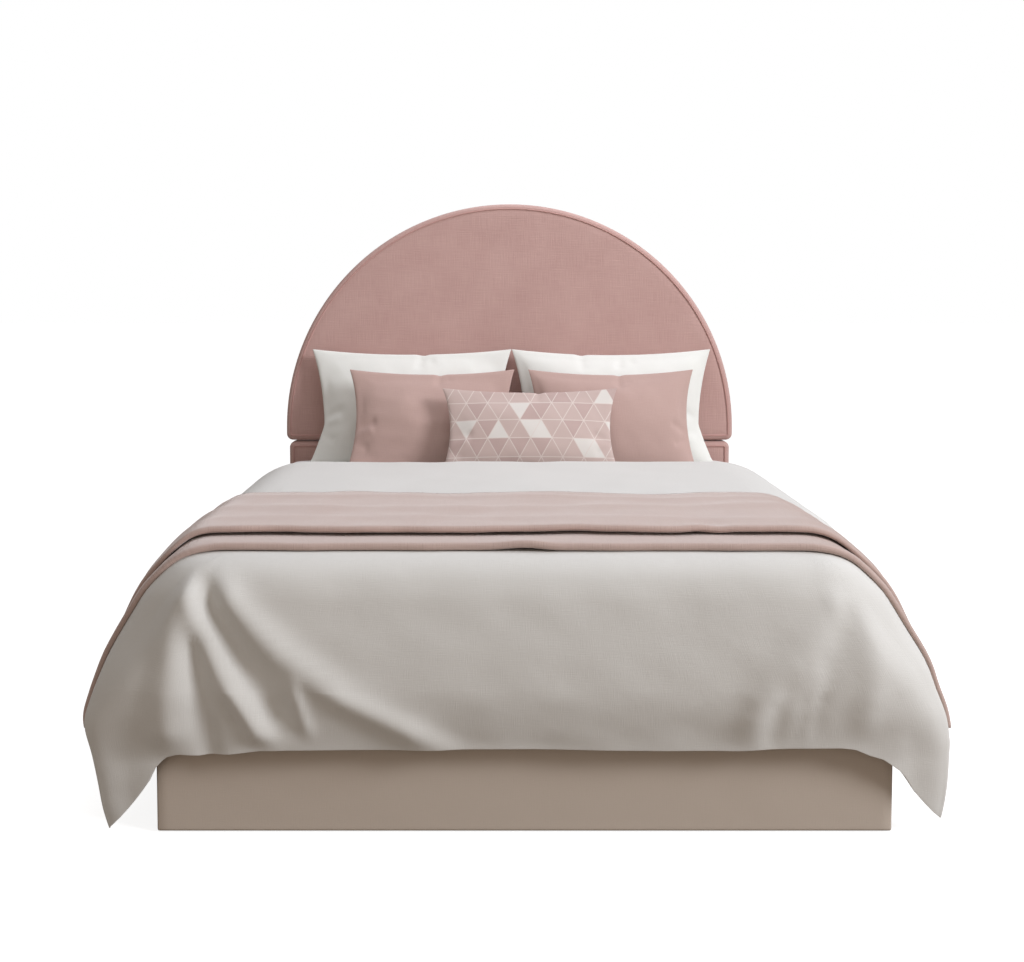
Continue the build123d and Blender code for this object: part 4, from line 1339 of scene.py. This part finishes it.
@dataclass
class Throw:
    """A soft blanket folded in four across the foot of the duvet, its two front folds one above the other."""

    drape: Drape
    front: float = -1.028
    set_back: float = 0.092
    length: float = 0.6
    ply: float = 0.0058
    gap: float = 0.0106
    lift: float = 0.0012
    hem: float = 0.222
    flat: tuple[float, float] = (2.27, 2.23)
    end_shift: float = 0.004
    run_points: int = 30
    side_columns: int = 14
    shoulder_columns: int = 24
    top_columns: int = 110
    shoulder_press: float = 0.38
    shoulder_lean: float = 0.6
    layer_from: float = 0.018
    layer_over: float = 0.006
    slack: float = 0.006
    slack_over: float = 0.2
    slack_wave: float = 0.6
    looseness: float = 0.0012
    loose_wave: float = 0.4
    bump: float = 0.006
    bump_at: float = 0.02
    bump_width: float = 0.055
    bump_over: float = 0.05
    bump_above: float = 0.6
    tuck: float = 0.005
    tuck_at: float = 0.45
    tuck_slant: float = 0.35
    tuck_from: float = -0.92
    tuck_width: float = 0.03
    tuck_middle: float = -0.9
    tuck_over: float = 0.06
    fold_wander: float = 0.02
    folds: tuple[tuple[float, float, float], ...] = (
        (-0.83, 0.003, 0.03), (-0.66, 0.0045, 0.035), (-0.52, 0.004, 0.022))

    def path(self) -> tuple[np.ndarray, np.ndarray]:
        """The cloth's way from its hidden end: forward, round the front fold, back, and the same again above.

        Returns:
            Places along the bed, and heights over the duvet.
        """
        radius = self.gap / 2
        turn = np.radians(np.linspace(-90, 90, 8))[1:-1]
        heights = self.lift + self.ply / 2 + self.gap * np.arange(4)
        back = self.front + self.length
        fronts = (self.front + self.ply / 2, self.front + self.set_back)
        run = np.linspace(0, 1, self.run_points)
        reach, rise = [], []
        for layer in (0, 1):
            low, high = heights[2 * layer], heights[2 * layer + 1]
            reach += [back - self.end_shift * layer - (back - fronts[layer] - radius) * run]
            reach += [fronts[layer] + radius * (1 - np.cos(turn))]
            reach += [fronts[layer] + radius + (back - fronts[layer] - radius * 2) * run]
            rise += [np.full(len(run), low), low + radius * (1 + np.sin(turn)), np.full(len(run), high)]
            if layer == 0:
                reach += [back - radius + radius * np.cos(turn)]
                rise += [high + radius * (1 + np.sin(turn))]
        return np.concatenate(reach), np.concatenate(rise)

    def ground(self, reach: np.ndarray) -> tuple[np.ndarray, np.ndarray, np.ndarray]:
        """The duvet's face under the throw: up one side from the hem, over the top and down the other side.

        Args:
            reach: places along the bed.

        Returns:
            Places across and heights (places, columns), and each column's lean from upright.
        """
        d = self.drape
        angles = np.radians(np.linspace(0, 90, self.shoulder_columns))[:0:-1]
        heights = np.linspace(d.side_centre, self.hem, self.side_columns)[:0:-1]
        level = np.concatenate([heights, d.side_centre + d.side_fall * np.cos(angles)])
        lean = np.arctan2(d.side_fall * np.sin(angles), d.side_out * np.cos(angles))
        lean = np.concatenate([np.full(len(heights), math.pi / 2), lean])
        ends = [d.side_reach(reach, np.array([d.top]), sign) for sign in (-1, 1)]
        flat = ends[0] + (ends[1] - ends[0]) * np.linspace(0, 1, self.top_columns)
        left, right = d.side_reach(reach, level, -1), d.side_reach(reach, level, 1)[:, ::-1]
        x = np.concatenate([left, flat, right], axis=1)
        side = np.broadcast_to(level, left.shape)
        z = np.concatenate([side, d.top_height(flat, reach[:, None]), side[:, ::-1]], axis=1)
        return x, z, np.concatenate([-lean, np.zeros(self.top_columns), lean[::-1]])

    def relief(self, reach: np.ndarray, rise: np.ndarray, cross: np.ndarray, tilt: np.ndarray) -> tuple:
        """The cloth's soft shape: its front edges' slack, its looseness, a bump, a tuck and three low folds.

        Args:
            reach: places along the bed, in rows.
            rise: heights over the duvet, in rows.
            cross: distances across the cloth from its middle, in columns.
            tilt: each column's lean from upright.

        Returns:
            Places along the bed, and heights over the duvet (rows, columns).
        """
        over = rise * (1 - self.shoulder_press * ease(np.abs(tilt) / self.shoulder_lean))
        layer = ease((rise - self.layer_from) / self.layer_over)
        slack = self.slack * ripple(cross, 0.3 * layer, 21, 7, self.slack_wave)
        y = reach + slack * bell(reach - self.front, self.slack_over) * (1 + layer)
        loose = self.looseness * (1 + ripple(cross, y, 22, 8, self.loose_wave))
        over = over + loose * (0.5 + layer)
        bump = bell(cross - self.bump_at, self.bump_width) * bell(reach - self.front, self.bump_over)
        over = over + self.bump * bump * (1 - (1 - self.bump_above) * layer)
        tuck = bell(cross - self.tuck_at + self.tuck_slant * (y - self.tuck_from), self.tuck_width)
        over = over - self.tuck * tuck * bell(reach - self.tuck_middle, self.tuck_over) * layer
        for place, height, width in self.folds:
            line = place + self.fold_wander * np.sin(cross * 3.0 + place * 20)
            over = over + height * layer * bell(reach - line, width)
        return y, over

    def build(self, cloth: bpy.types.Material) -> bpy.types.Object:
        """Make the throw: the folded path carried over the bed from one side's hem to the other's.

        Args:
            cloth: its finish.

        Returns:
            The new object.
        """
        reach, rise = self.path()
        x, z, tilt = self.ground(reach)
        middle_row = 2 * self.run_points
        cross = run_length(np.stack([x[middle_row], z[middle_row]], axis=1))
        cross -= cross.mean()
        y, over = self.relief(reach[:, None], rise[:, None], cross[None, :], tilt)
        x = x + np.sin(tilt) * over
        z = z + np.cos(tilt) * over
        along = run_length(np.stack([reach, rise], axis=1))
        spot = np.stack(np.broadcast_arrays(cross[None, :], along[:, None]), axis=-1)
        grid = np.stack([x, y, z], axis=-1)
        piece = make_piece("throw_blanket", [(grid, spot)], cloth, "throw_knit", outward=False)
        thicken(piece, self.ply, outwards=0.0)
        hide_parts("throw")
        return piece


@dataclass
class Pillow:
    """A stuffed case with sewn edges: a crowned form whose sides pull in between its corners."""

    name: str
    node: str
    size: tuple[float, float, float]
    lean: float
    slot: str
    pull: float = 0.1
    kink: float = 0.0
    kink_at: float = -0.3
    flare: float = 0.018
    crown: float = 0.66
    fullness: float = 0.62
    softness: float = 0.07
    soft_wave: float = 0.35
    waist: float = 0.04
    seed: int = 1
    sag: float = 0.012
    notch: float = 0.1
    notch_depth: float = 0.006
    notch_width: float = 0.035
    pucker_from: float = 0.35
    cap: float = 0.014
    seam: float = 0.03
    seat: float = 0.5486
    sunk: float = 0.010
    press: float = 0.03
    press_most: float = 1.35
    clear: float = 0.0005
    frames: int = 12
    folds: tuple[tuple[tuple[float, float], tuple[float, float], float], ...] = (
        ((-0.97, -0.3), (-0.62, -0.02), -0.0085), ((-0.97, -0.34), (-0.66, -0.2), 0.006),
        ((-0.95, -0.42), (-0.72, -0.6), -0.006), ((0.96, -0.28), (0.66, -0.06), -0.0075),
        ((0.96, -0.34), (0.7, -0.5), -0.006), ((0.1, 1.0), (0.07, 0.6), -0.007),
        ((0.17, 1.0), (0.2, 0.68), -0.005))
    fold_width: float = 0.0125
    fold_for: float = 0.13

    @staticmethod
    def crowded(count: int) -> np.ndarray:
        """Places from -1 to 1, closer together near both ends: half even steps and half a sine."""
        even = np.linspace(-1, 1, count)
        return np.sin(even * math.pi / 2) * 0.5 + even * 0.5

    def form(self) -> list[tuple[np.ndarray, np.ndarray]]:
        """Front and back on one grid: thickness falls to nothing at the seam as a rounded crown, and each
        edge is drawn in by a share that is greatest at its middle.

        Returns:
            Both grids of points with their surface coordinates.
        """
        width, height, depth = self.size
        u, v = np.meshgrid(self.crowded(68), self.crowded(46))
        span = np.where(v > self.kink_at, 1 - self.kink_at, 1 + self.kink_at)
        kink = self.kink * np.clip(1 - np.abs(v - self.kink_at) / span, 0, 1)
        drawn = self.pull * (1 - v ** 2) + kink
        x = width / 2 * u * (1 - drawn * u ** 2 - self.flare * ease((v + 1) / 2))
        z = height / 2 * v * (1 - self.waist * (1 - u ** 2)) + height / 2
        z = z - self.notch_depth * bell(u - self.notch, self.notch_width) * ease((v - 0.6) / 0.4)
        z = z - self.sag * (1 - u ** 2) * ease((v + 0.2) / 1.2)
        full = ((1 - u ** 2) * (1 - v ** 2)) ** self.crown
        soft = 1 + self.softness * ripple(x, z, self.seed, 8, self.soft_wave)
        puckers = self.puckers(x, z) * np.clip(full / self.pucker_from, 0, 1)
        thick = depth * self.fullness * full * soft + puckers
        spot = np.stack([x, z], axis=-1)
        return [(np.stack([x, -thick, z], axis=-1), spot), (np.stack([x, thick, z], axis=-1), spot + 1.0)]

    def puckers(self, x: np.ndarray, z: np.ndarray) -> np.ndarray:
        """Small folds that run in from the drawn sides and from the top seam, in shares of the case's size.

        Args:
            x: the points' places across.
            z: the points' heights above the case's foot.

        Returns:
            The height of the folds at each point.
        """
        half, tall = self.size[0] / 2, self.size[1] / 2
        total = np.zeros(x.shape)
        for (u0, v0), (u1, v1), depth in self.folds:
            line = ((half * u0, tall * (v0 + 1)), (half * u1, tall * (v1 + 1)))
            fold = Crease(line, self.fold_width, depth * self.size[2] / self.fold_for, run_in=0.01)
            total = total + fold.relief(x, z)
        return total

    def puff(self, piece: bpy.types.Object) -> None:
        """Let the case fill under pressure as cloth, then keep the shape.

        Each point's travel is capped, and the seam stays where it is.

        Args:
            piece: the case.
        """
        mesh = piece.data
        start = np.empty(len(mesh.vertices) * 3)
        end = np.empty_like(start)
        mesh.vertices.foreach_get("co", start)
        cloth = piece.modifiers.new("Fill", "CLOTH")
        settings = cloth.settings
        settings.quality = 6
        settings.mass = 0.15
        settings.tension_stiffness = settings.compression_stiffness = 12
        settings.shear_stiffness = 4
        settings.bending_stiffness = 0.3
        settings.use_pressure = True
        settings.uniform_pressure_force = 2.0
        settings.shrink_min = 0.0
        settings.effector_weights.gravity = 0
        scene = bpy.context.scene
        cloth.point_cache.frame_start, cloth.point_cache.frame_end = 1, self.frames
        for step in range(1, self.frames + 1):
            scene.frame_set(step)
        shaped = piece.evaluated_get(bpy.context.evaluated_depsgraph_get()).to_mesh()
        shaped.vertices.foreach_get("co", end)
        piece.modifiers.remove(cloth)
        travel = (end - start).reshape(-1, 3)
        far = np.linalg.norm(travel, axis=1, keepdims=True)
        from_seam = np.abs(start.reshape(-1, 3)[:, 1:2])
        travel *= self.cap / (self.cap + far) * ease(from_seam / self.seam)
        mesh.vertices.foreach_set("co", start + travel.ravel())
        mesh.update()
        scene.frame_set(1)

    def settle(self, piece: bpy.types.Object) -> None:
        """Fit the case to its size, lean it back and seat it in its place, flat where it stands.

        Its lowest part is pressed: the nearer to the seat, the more the height above it is shortened.

        Args:
            piece: the case.
        """
        low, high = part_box(self.node)
        mesh = piece.data
        points = np.empty(len(mesh.vertices) * 3)
        mesh.vertices.foreach_get("co", points)
        points = points.reshape(-1, 3)
        least, most = points.min(0), points.max(0)
        width, height, depth = self.size
        points = (points - (most + least) / 2) * (np.array([width, depth, height]) / (most - least))
        points += np.array([0, 0, height / 2])
        angle = math.radians(self.lean)
        y = points[:, 1] * math.cos(angle) + points[:, 2] * math.sin(angle)
        z = points[:, 2] * math.cos(angle) - points[:, 1] * math.sin(angle) + self.seat - self.sunk
        squash = np.clip((self.seat + self.press - z) / self.press, 0, None)
        taken = math.exp(-self.press_most) * np.clip(squash / self.press_most, 0, 1)
        z = np.where(squash > 0, self.seat + self.press * (np.exp(-squash) - taken), z)
        x = points[:, 0] + (low.x + high.x) / 2
        y = y - y.max() + high.y - self.clear
        moved = np.stack([x, y, np.maximum(z, self.seat)], axis=1)
        mesh.vertices.foreach_set("co", moved.ravel())
        mesh.update()

    def build(self, cloth: bpy.types.Material) -> bpy.types.Object:
        """Make, fill and seat the case.

        Args:
            cloth: its finish.

        Returns:
            The new object.
        """
        piece = make_piece(self.name, self.form(), cloth, self.slot)
        self.puff(piece)
        self.settle(piece)
        refine(piece)
        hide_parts(self.node)
        return piece


@dataclass
class Bedding:
    """Mattress and fitted sheet: a rounded rectangle carried up a rounded side, closed above and below."""

    foot: float = -1.014
    head: float = 0.986
    half: float = 0.75
    low: float = 0.2965
    high: float = 0.5465
    corner: float = 0.08
    least_corner: float = 0.01
    edge: float = 0.006
    core_inset: float = 0.001
    core_rise: float = 0.0005
    bulge: float = 0.004
    bulge_from: float = 0.012
    tape_radius: float = 0.0035
    tape_inset: float = 0.0042
    tape_rise: float = 0.005
    skin: float = 0.0012
    sheet: float = 0.0008
    sheet_ripple: float = 0.0003
    tuck_in: float = 0.078
    tuck_edge: float = 0.01
    tuck_turn: float = 0.002
    side_from: float = 0.01
    top_inset: float = 0.012

    def outline(self, inset: float) -> np.ndarray:
        """A rounded rectangle, drawn in by an inset.

        Args:
            inset: how far inside the full outline.

        Returns:
            Plan points.
        """
        half, low, high = self.half - inset, self.foot + inset, self.head - inset
        r = max(self.corner - inset, self.least_corner)
        centres = ((half - r, low + r), (half - r, high - r), (-half + r, high - r), (-half + r, low + r))
        return closed_line([(centre, r, 90 * i - 90, 90 * i, 10) for i, centre in enumerate(centres)], 36)

    def shell(self, rings: Sequence[tuple[float, float]], close: tuple[bool, bool]) -> tuple:
        """Rings of the outline at set insets and heights, with a face drawn in to the middle where asked.

        Args:
            rings: an inset and a height for each ring.
            close: whether the first and the last ring get a face.

        Returns:
            The grid of points, and its surface coordinates: the plan, moved by the height.
        """
        loops = [np.insert(self.outline(inset), 2, z, axis=1) for inset, z in rings]
        centre = np.array([0.0, (self.foot + self.head) / 2])
        for at, wanted in zip((0, -1), close):
            if wanted:
                inset, z = rings[at]
                line = self.outline(inset) - centre
                inner = [np.insert(centre + line * s, 2, z, axis=1) for s in np.linspace(1, 0, 26)[1:]]
                loops = inner[::-1] + loops if at == 0 else loops + inner
        grid = np.stack(loops)
        return grid, grid[..., :2] + grid[..., 2:3]

    def core(self, ticking: bpy.types.Material) -> None:
        """Make the mattress: a rounded edge, slightly bulged sides and the same edge above them.

        Args:
            ticking: its finish.
        """
        turn = 1 - np.sin(np.radians(np.linspace(0, 90, 5)))
        rise = 1 - np.cos(np.radians(np.linspace(0, 90, 5)))
        rings = [(self.edge * i + self.core_inset, self.low + self.edge * r + self.core_rise)
                 for i, r in zip(turn, rise)]
        tall = self.high - self.low - 2 * self.bulge_from
        bulge = [(self.core_inset + self.bulge * abs(2 * s - 1), self.low + self.bulge_from + tall * s)
                 for s in np.linspace(0, 1, 11)]
        rings += bulge + [(inset, self.high + self.low - z) for inset, z in rings[::-1]]
        core = make_piece("mattress_filled", [self.shell(rings, (True, True))], ticking, "mattress_ticking")
        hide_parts("mattress")

    def tapes(self, tape: bpy.types.Material) -> None:
        """Make the two edge tapes: a circle carried round the outline.

        Args:
            tape: their finish.
        """
        bands = []
        for z in (self.low + self.tape_rise, self.high - self.tape_rise):
            grid = np.stack([
                np.insert(self.outline(self.tape_inset - self.tape_radius * math.cos(a)), 2,
                          z + self.tape_radius * math.sin(a), axis=1)
                for a in np.linspace(0, 2 * math.pi, 9)])
            bands.append((grid, grid[..., :2]))
        tapes = make_piece("mattress_edge_tapes", bands, tape, "mattress_tape")
        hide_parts("mattress_tapes")

    def fitted(self, cotton: bpy.types.Material) -> None:
        """Make the sheet: tucked in below, up the sides, round the edge and closed over the top.

        Args:
            cotton: its finish.
        """
        skin, edge = self.skin, self.edge
        rings = [(self.tuck_in, self.low - skin), (self.tuck_edge, self.low - skin), (self.tuck_turn, self.low)]
        rings += [(-skin + 0.0003, self.low + 0.008)]
        tall = self.high - self.low - 2 * self.side_from
        rings += [(-skin, self.low + self.side_from + tall * s) for s in np.linspace(0, 1, 14)[1:]]
        rings += [(edge * (1 - math.sin(a)) - skin, self.high + skin - edge * (1 - math.cos(a)))
                  for a in np.radians(np.linspace(90, 0, 5))]
        rings += [(self.top_inset, self.high + skin + 0.0002)]
        grid, spot = self.shell(rings, (False, True))
        x, y, z = grid[..., 0], grid[..., 1], grid[..., 2]
        z += self.sheet_ripple * ripple(x, y, 31, 9, 0.3) * (z > self.high)
        sheet = make_piece("fitted_sheet_cloth", [(grid, spot)], cotton, "sheet_cotton", outward=False)
        face_up(sheet)
        thicken(sheet, self.sheet, outwards=0.0)
        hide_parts("fitted_sheet")

    def build(self, ticking: bpy.types.Material, tape: bpy.types.Material,
              cotton: bpy.types.Material) -> None:
        """Make the mattress, its two edge tapes and the sheet over them.

        Args:
            ticking: the mattress's finish.
            tape: the tapes' finish.
            cotton: the sheet's finish.
        """
        self.core(ticking)
        self.tapes(tape)
        self.fitted(cotton)


@dataclass
class Studio:
    """A white room: a pale floor that keeps the bed's soft shadow, large lamps, and the camera."""

    eye: tuple[float, float, float] = (-0.0802, -3.9926, 1.1593)
    tilt: float = 4.0
    lens: float = 49.949
    sensor: float = 36.0
    shift: tuple[float, float] = (0.0246, -0.0933)
    clip: float = 200.0
    floor_half: float = 40.0
    floor_light: float = 0.86
    sky_light: float = 0.37

    def camera(self) -> None:
        """Set up the camera at the photograph's own place, height and angle."""
        lens = bpy.data.cameras.new("studio_camera")
        lens.lens, lens.sensor_width = self.lens, self.sensor
        lens.shift_x, lens.shift_y = self.shift
        lens.clip_end = self.clip
        camera = bpy.data.objects.new("studio_camera", lens)
        camera.location = self.eye
        camera.rotation_euler = (math.radians(90 - self.tilt), 0.0, 0.0)
        bpy.context.scene.collection.objects.link(camera)
        bpy.context.scene.camera = camera

    def lamp(self, name: str, place: tuple, aim: tuple, size: float, power: float, colour: str) -> None:
        """Hang one large soft lamp.

        Args:
            name: what it is called.
            place: where it hangs.
            aim: the point that it faces.
            size: its side.
            power: its strength in watts.
            colour: its sRGB colour code.
        """
        light = bpy.data.lights.new(name, "AREA")
        light.shape, light.size, light.energy = "SQUARE", size, power
        light.color = linear(colour)[:3]
        holder = bpy.data.objects.new(name, light)
        holder.location = place
        holder.rotation_euler = (Vector(aim) - Vector(place)).to_track_quat("-Z", "Y").to_euler()
        bpy.context.scene.collection.objects.link(holder)

    def floor(self) -> None:
        """Lay the floor: near white to the camera and in reflections, with the bed's shadow on it."""
        half = self.floor_half
        mesh = bpy.data.meshes.new("studio_floor")
        corners = [(-half, -half, 0), (half, -half, 0), (half, half, 0), (-half, half, 0)]
        mesh.from_pydata(corners, [], [(0, 1, 2, 3)])
        floor = bpy.data.objects.new("studio_floor", mesh)
        bpy.context.scene.collection.objects.link(floor)
        s = Shader("studio_floor_paint")
        ray = s.add("LightPath")
        seen = s.math("MAXIMUM", ray.outputs["Is Camera Ray"],
                      s.math("MAXIMUM", ray.outputs["Is Glossy Ray"], ray.outputs["Is Transmission Ray"]))
        s.feed(s.base, {"Base Color": linear("8b7f73"), "Roughness": 0.95, "Specular IOR Level": 0.0})
        white = s.add("Emission", {"Color": WHITE, "Strength": self.floor_light})
        pale = s.add("BsdfDiffuse", {"Color": (0.5, 0.5, 0.5, 1.0)})
        both = s.add("AddShader", {0: white.outputs[0], 1: pale.outputs[0]})
        mix = s.add("MixShader", {0: seen, 1: s.base.outputs[0], 2: both.outputs[0]})
        s.feed(s.out, {"Surface": mix.outputs[0]})
        mesh.materials.append(s.material)

    def sky(self) -> None:
        """Set the world: white where the camera looks past the bed, soft light elsewhere."""
        world = bpy.data.worlds.new("studio_world")
        bpy.context.scene.world = world
        world.use_nodes = True
        w = Nodes(world.node_tree)
        ray = w.add("LightPath")
        seen = w.math("MAXIMUM", ray.outputs["Is Camera Ray"], ray.outputs["Is Glossy Ray"])
        soft = w.add("Background", {"Color": linear("f3ece7"), "Strength": self.sky_light})
        plain = w.add("Background", {"Color": WHITE, "Strength": 1.0})
        mix = w.add("MixShader", {0: seen, 1: soft.outputs[0], 2: plain.outputs[0]})
        w.add("OutputWorld", {"Surface": mix.outputs[0]})

    def build(self) -> None:
        """Set up the studio: a key lamp at the right, a warm fill at the front and a cool lamp above."""
        self.camera()
        self.floor()
        self.sky()
        self.lamp("key_lamp", (7.0, -4.4, 4.3), (0.1, 0.2, 0.6), 2.6, 560, "fafbff")
        self.lamp("fill_lamp", (-1.2, -7.5, 1.7), (0.0, 0.0, 0.5), 3.4, 44, "ffe9d4")
        self.lamp("top_lamp", (0.5, 0.3, 3.6), (0.0, 0.0, 0.4), 2.6, 48, "f4f6ff")
        bpy.context.scene.view_settings.view_transform = "Standard"


@dataclass
class Carcass:
    """The hidden frame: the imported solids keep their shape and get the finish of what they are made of."""

    finishes: dict[str, object] = field(default_factory=lambda: {
        # The linen of the front, matt and close-woven, on the flat backs and sides.
        "headboard_cloth": Cloth("dusty pink linen blend, plain", "b98f8b", "a67a76",
                                 where=Coordinates.SPACE),
        "headboard_welt": Cloth("dusty pink linen, piping", "b98f8b", "a67a76", where=Coordinates.SPACE),
        # A thin dull lining: near black, with a faint web of fibres.
        "dust_cloth": Cloth("black spunbond lining", "2b2a2b", "3a393a", thread=0.003, where=Coordinates.SPACE),
        # Pale yellowish foam with small open cells and no gloss.
        "foam": Moulded("upholstery foam", "e9dfc4", "d8cba8", grain=0.0015, relief=0.0006, roughness=0.95),
        # Pressed chips, mottled light and dark brown, with a dry surface.
        "panel_board": Moulded("chipboard panel", "b79a6e", "8f7348", grain=0.004, relief=0.0002,
                               roughness=0.85),
        "rail_board": Moulded("chipboard rail", "b99d73", "93774d", grain=0.004, relief=0.0002,
                              roughness=0.85),
        # Coarse pale tape whose weave shows.
        "webbing": Cloth("slat webbing", "e3e0d8", "c9c5ba", thread=0.002, relief=0.0006,
                         where=Coordinates.SPACE),
        # Powder coat: dark, half matt, hiding the steel's own sheen.
        "bracket_steel": Metal("black powder-coated steel", "3a3b3d", "2c2d2f", roughness=0.55),
        # Zinc: bright and cool, a little cloudy.
        "zinc_fixings": Metal("bright zinc-plated steel", "c9cbcc", "a4a7a9", roughness=0.35),
        # Moulded nylon: smooth, with a low gloss.
        "leg_plastic": Moulded("black nylon leg", "262628", "323234", grain=0.0012, relief=0.00008,
                               roughness=0.5),
        "glide_plastic": Moulded("grey nylon glide", "55565a", "66676b", grain=0.001, relief=0.00005,
                                 roughness=0.45),
    })
    timbers: dict[str, tuple[str, Grain]] = field(default_factory=lambda: {
        # Straw-coloured pine: bands of rings, and fibres along each piece's own length.
        "slat_ledge": ("sawn pine, ledge", Grain.LENGTHWISE),
        "centre_beam": ("sawn pine, beam", Grain.LENGTHWISE),
        "headboard_strut": ("sawn pine, strut", Grain.UPRIGHT),
        "slat_": ("planed pine, slat", Grain.ACROSS),
    })
    timber_colours: tuple[str, str] = ("dcbf8e", "bd9763")

    def finish(self, node: str, slot: str) -> object:
        """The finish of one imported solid.

        Args:
            node: its name.
            slot: its material slot in the record.

        Returns:
            A timber for the pieces of pine, or else the slot's own finish.
        """
        for start, (name, grain) in self.timbers.items():
            if node.startswith(start) and not node.startswith("slat_strap"):
                return Timber(name, *self.timber_colours, grain)
        return self.finishes.get(slot, self.finishes["glide_plastic"])

    def build(self) -> None:
        """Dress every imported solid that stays."""
        made: dict[object, bpy.types.Material] = {}
        slots = {node: row["slot"] for row in frame["record"]["materials"] for node in row.get("nodes", [])}
        for node, piece in frame["nodes"].items():
            if piece.hide_render:
                continue
            finish = self.finish(node, slots.get(node, ""))
            if finish not in made:
                made[finish] = finish.material()
            for place in piece.material_slots:
                place.material = made[finish]
            if not piece.material_slots:
                piece.data.materials.append(made[finish])
            LOG.info("%s dressed as %s", node, made[finish].name)


def main() -> None:
    """Build the whole bed and its studio, piece by piece."""
    logging.basicConfig(level=logging.INFO, format="%(name)s %(message)s")
    # Brushed linen blend: coarse crossed threads with uneven yarn, drawn a little coarser than life so that
    # they show, and a soft nap that lightens towards the edges.
    pink = Cloth("dusty pink brushed linen", "d2b1aa", "b48f89", thread=0.0026, slub=0.75, mottle=0.5,
                 relief=0.0006, crease=0.0014, crease_scale=6.0, sheen=0.35)
    # The same linen cut on the bias for the cords: finer, and a shade deeper.
    trim = Cloth("dusty pink linen, piping", "c9a19a", "b68b85")
    Headboard().build(pink.material(), trim.material())
    # Smooth twill: even and matt, with hardly a thread to be seen.
    twill = Cloth("taupe smooth twill", "c9bdb1", "bcb0a3", thread=0.0011, slub=0.35, mottle=0.12,
                  relief=0.0002, sheen=0.15)
    Base().build(twill.material())
    # Ticking and tape are off-white and plain. Percale is the smoothest of the whites.
    ticking = Cloth("mattress ticking", "ecebe6", "dddbd3", thread=0.0015)
    tape = Cloth("mattress edge tape", "cfccc4", "bdb9af", thread=0.001)
    percale = Cloth("white cotton percale", "e9e8e6", "dcdbd8", thread=0.0008, slub=0.3, mottle=0.1,
                    relief=0.0002)
    Bedding().build(ticking.material(), tape.material(), percale.material())
    drape = Drape()
    # Washed cotton: white, matt and slightly crumpled all over.
    washed = Cloth("white washed cotton", "dfdfdc", "d1d0cc", thread=0.0013, slub=0.45, mottle=0.15,
                   relief=0.0003, crease=0.0015, sheen=0.15)
    Duvet(drape).build(washed.material())
    # Soft knit: thick fuzzy yarn that catches the light along its folds.
    knit = Cloth("dusty pink soft knit", "c6b0a7", "ad968e", thread=0.0024, slub=0.6, relief=0.0008,
                 crease=0.001, crease_scale=14.0, sheen=0.5)
    Throw(drape).build(knit.material())
    # Sateen: the brightest white, with a faint lustre and soft dents. The cushions' linen is the
    # headboard's, in a finer weave.
    sateen = Cloth("white cotton sateen", "f0f2ee", "e3e4df", thread=0.0009, slub=0.3, mottle=0.1,
                   relief=0.0002, crease=0.0025, crease_scale=8.0, sheen=0.15).material()
    linen = Cloth("dusty pink linen, cushion", "c8aca4", "b2968f", crease=0.002, sheen=0.3).material()
    # Printed cotton: flat inks on a fine weave.
    pattern = TrianglePrint("triangle print cotton", "c6b2ac", "dcd2cc", "dedad5", "bda6a1").material()
    pillow, cushion, lumbar = (0.712, 0.41, 0.145), (0.574, 0.352, 0.122), (0.592, 0.298, 0.1)
    for name, seed, notch in (("left", 41, 0.12), ("right", 42, -0.3)):
        Pillow(f"pillow_case_{name}", f"pillow_{name}", pillow, 11, "pillow_cotton", kink=0.09, pull=0.06,
               seed=seed, notch=notch).build(sateen)
        Pillow(f"cushion_case_{name}", f"cushion_{name}", cushion, 15, "cushion_linen",
               seed=seed + 5).build(linen)
    Pillow("lumbar_case", "lumbar_cushion", lumbar, 17, "lumbar_print", seed=51, sag=0.01).build(pattern)
    Carcass().build()
    Studio().build()


if __name__ == "__main__":
    main()
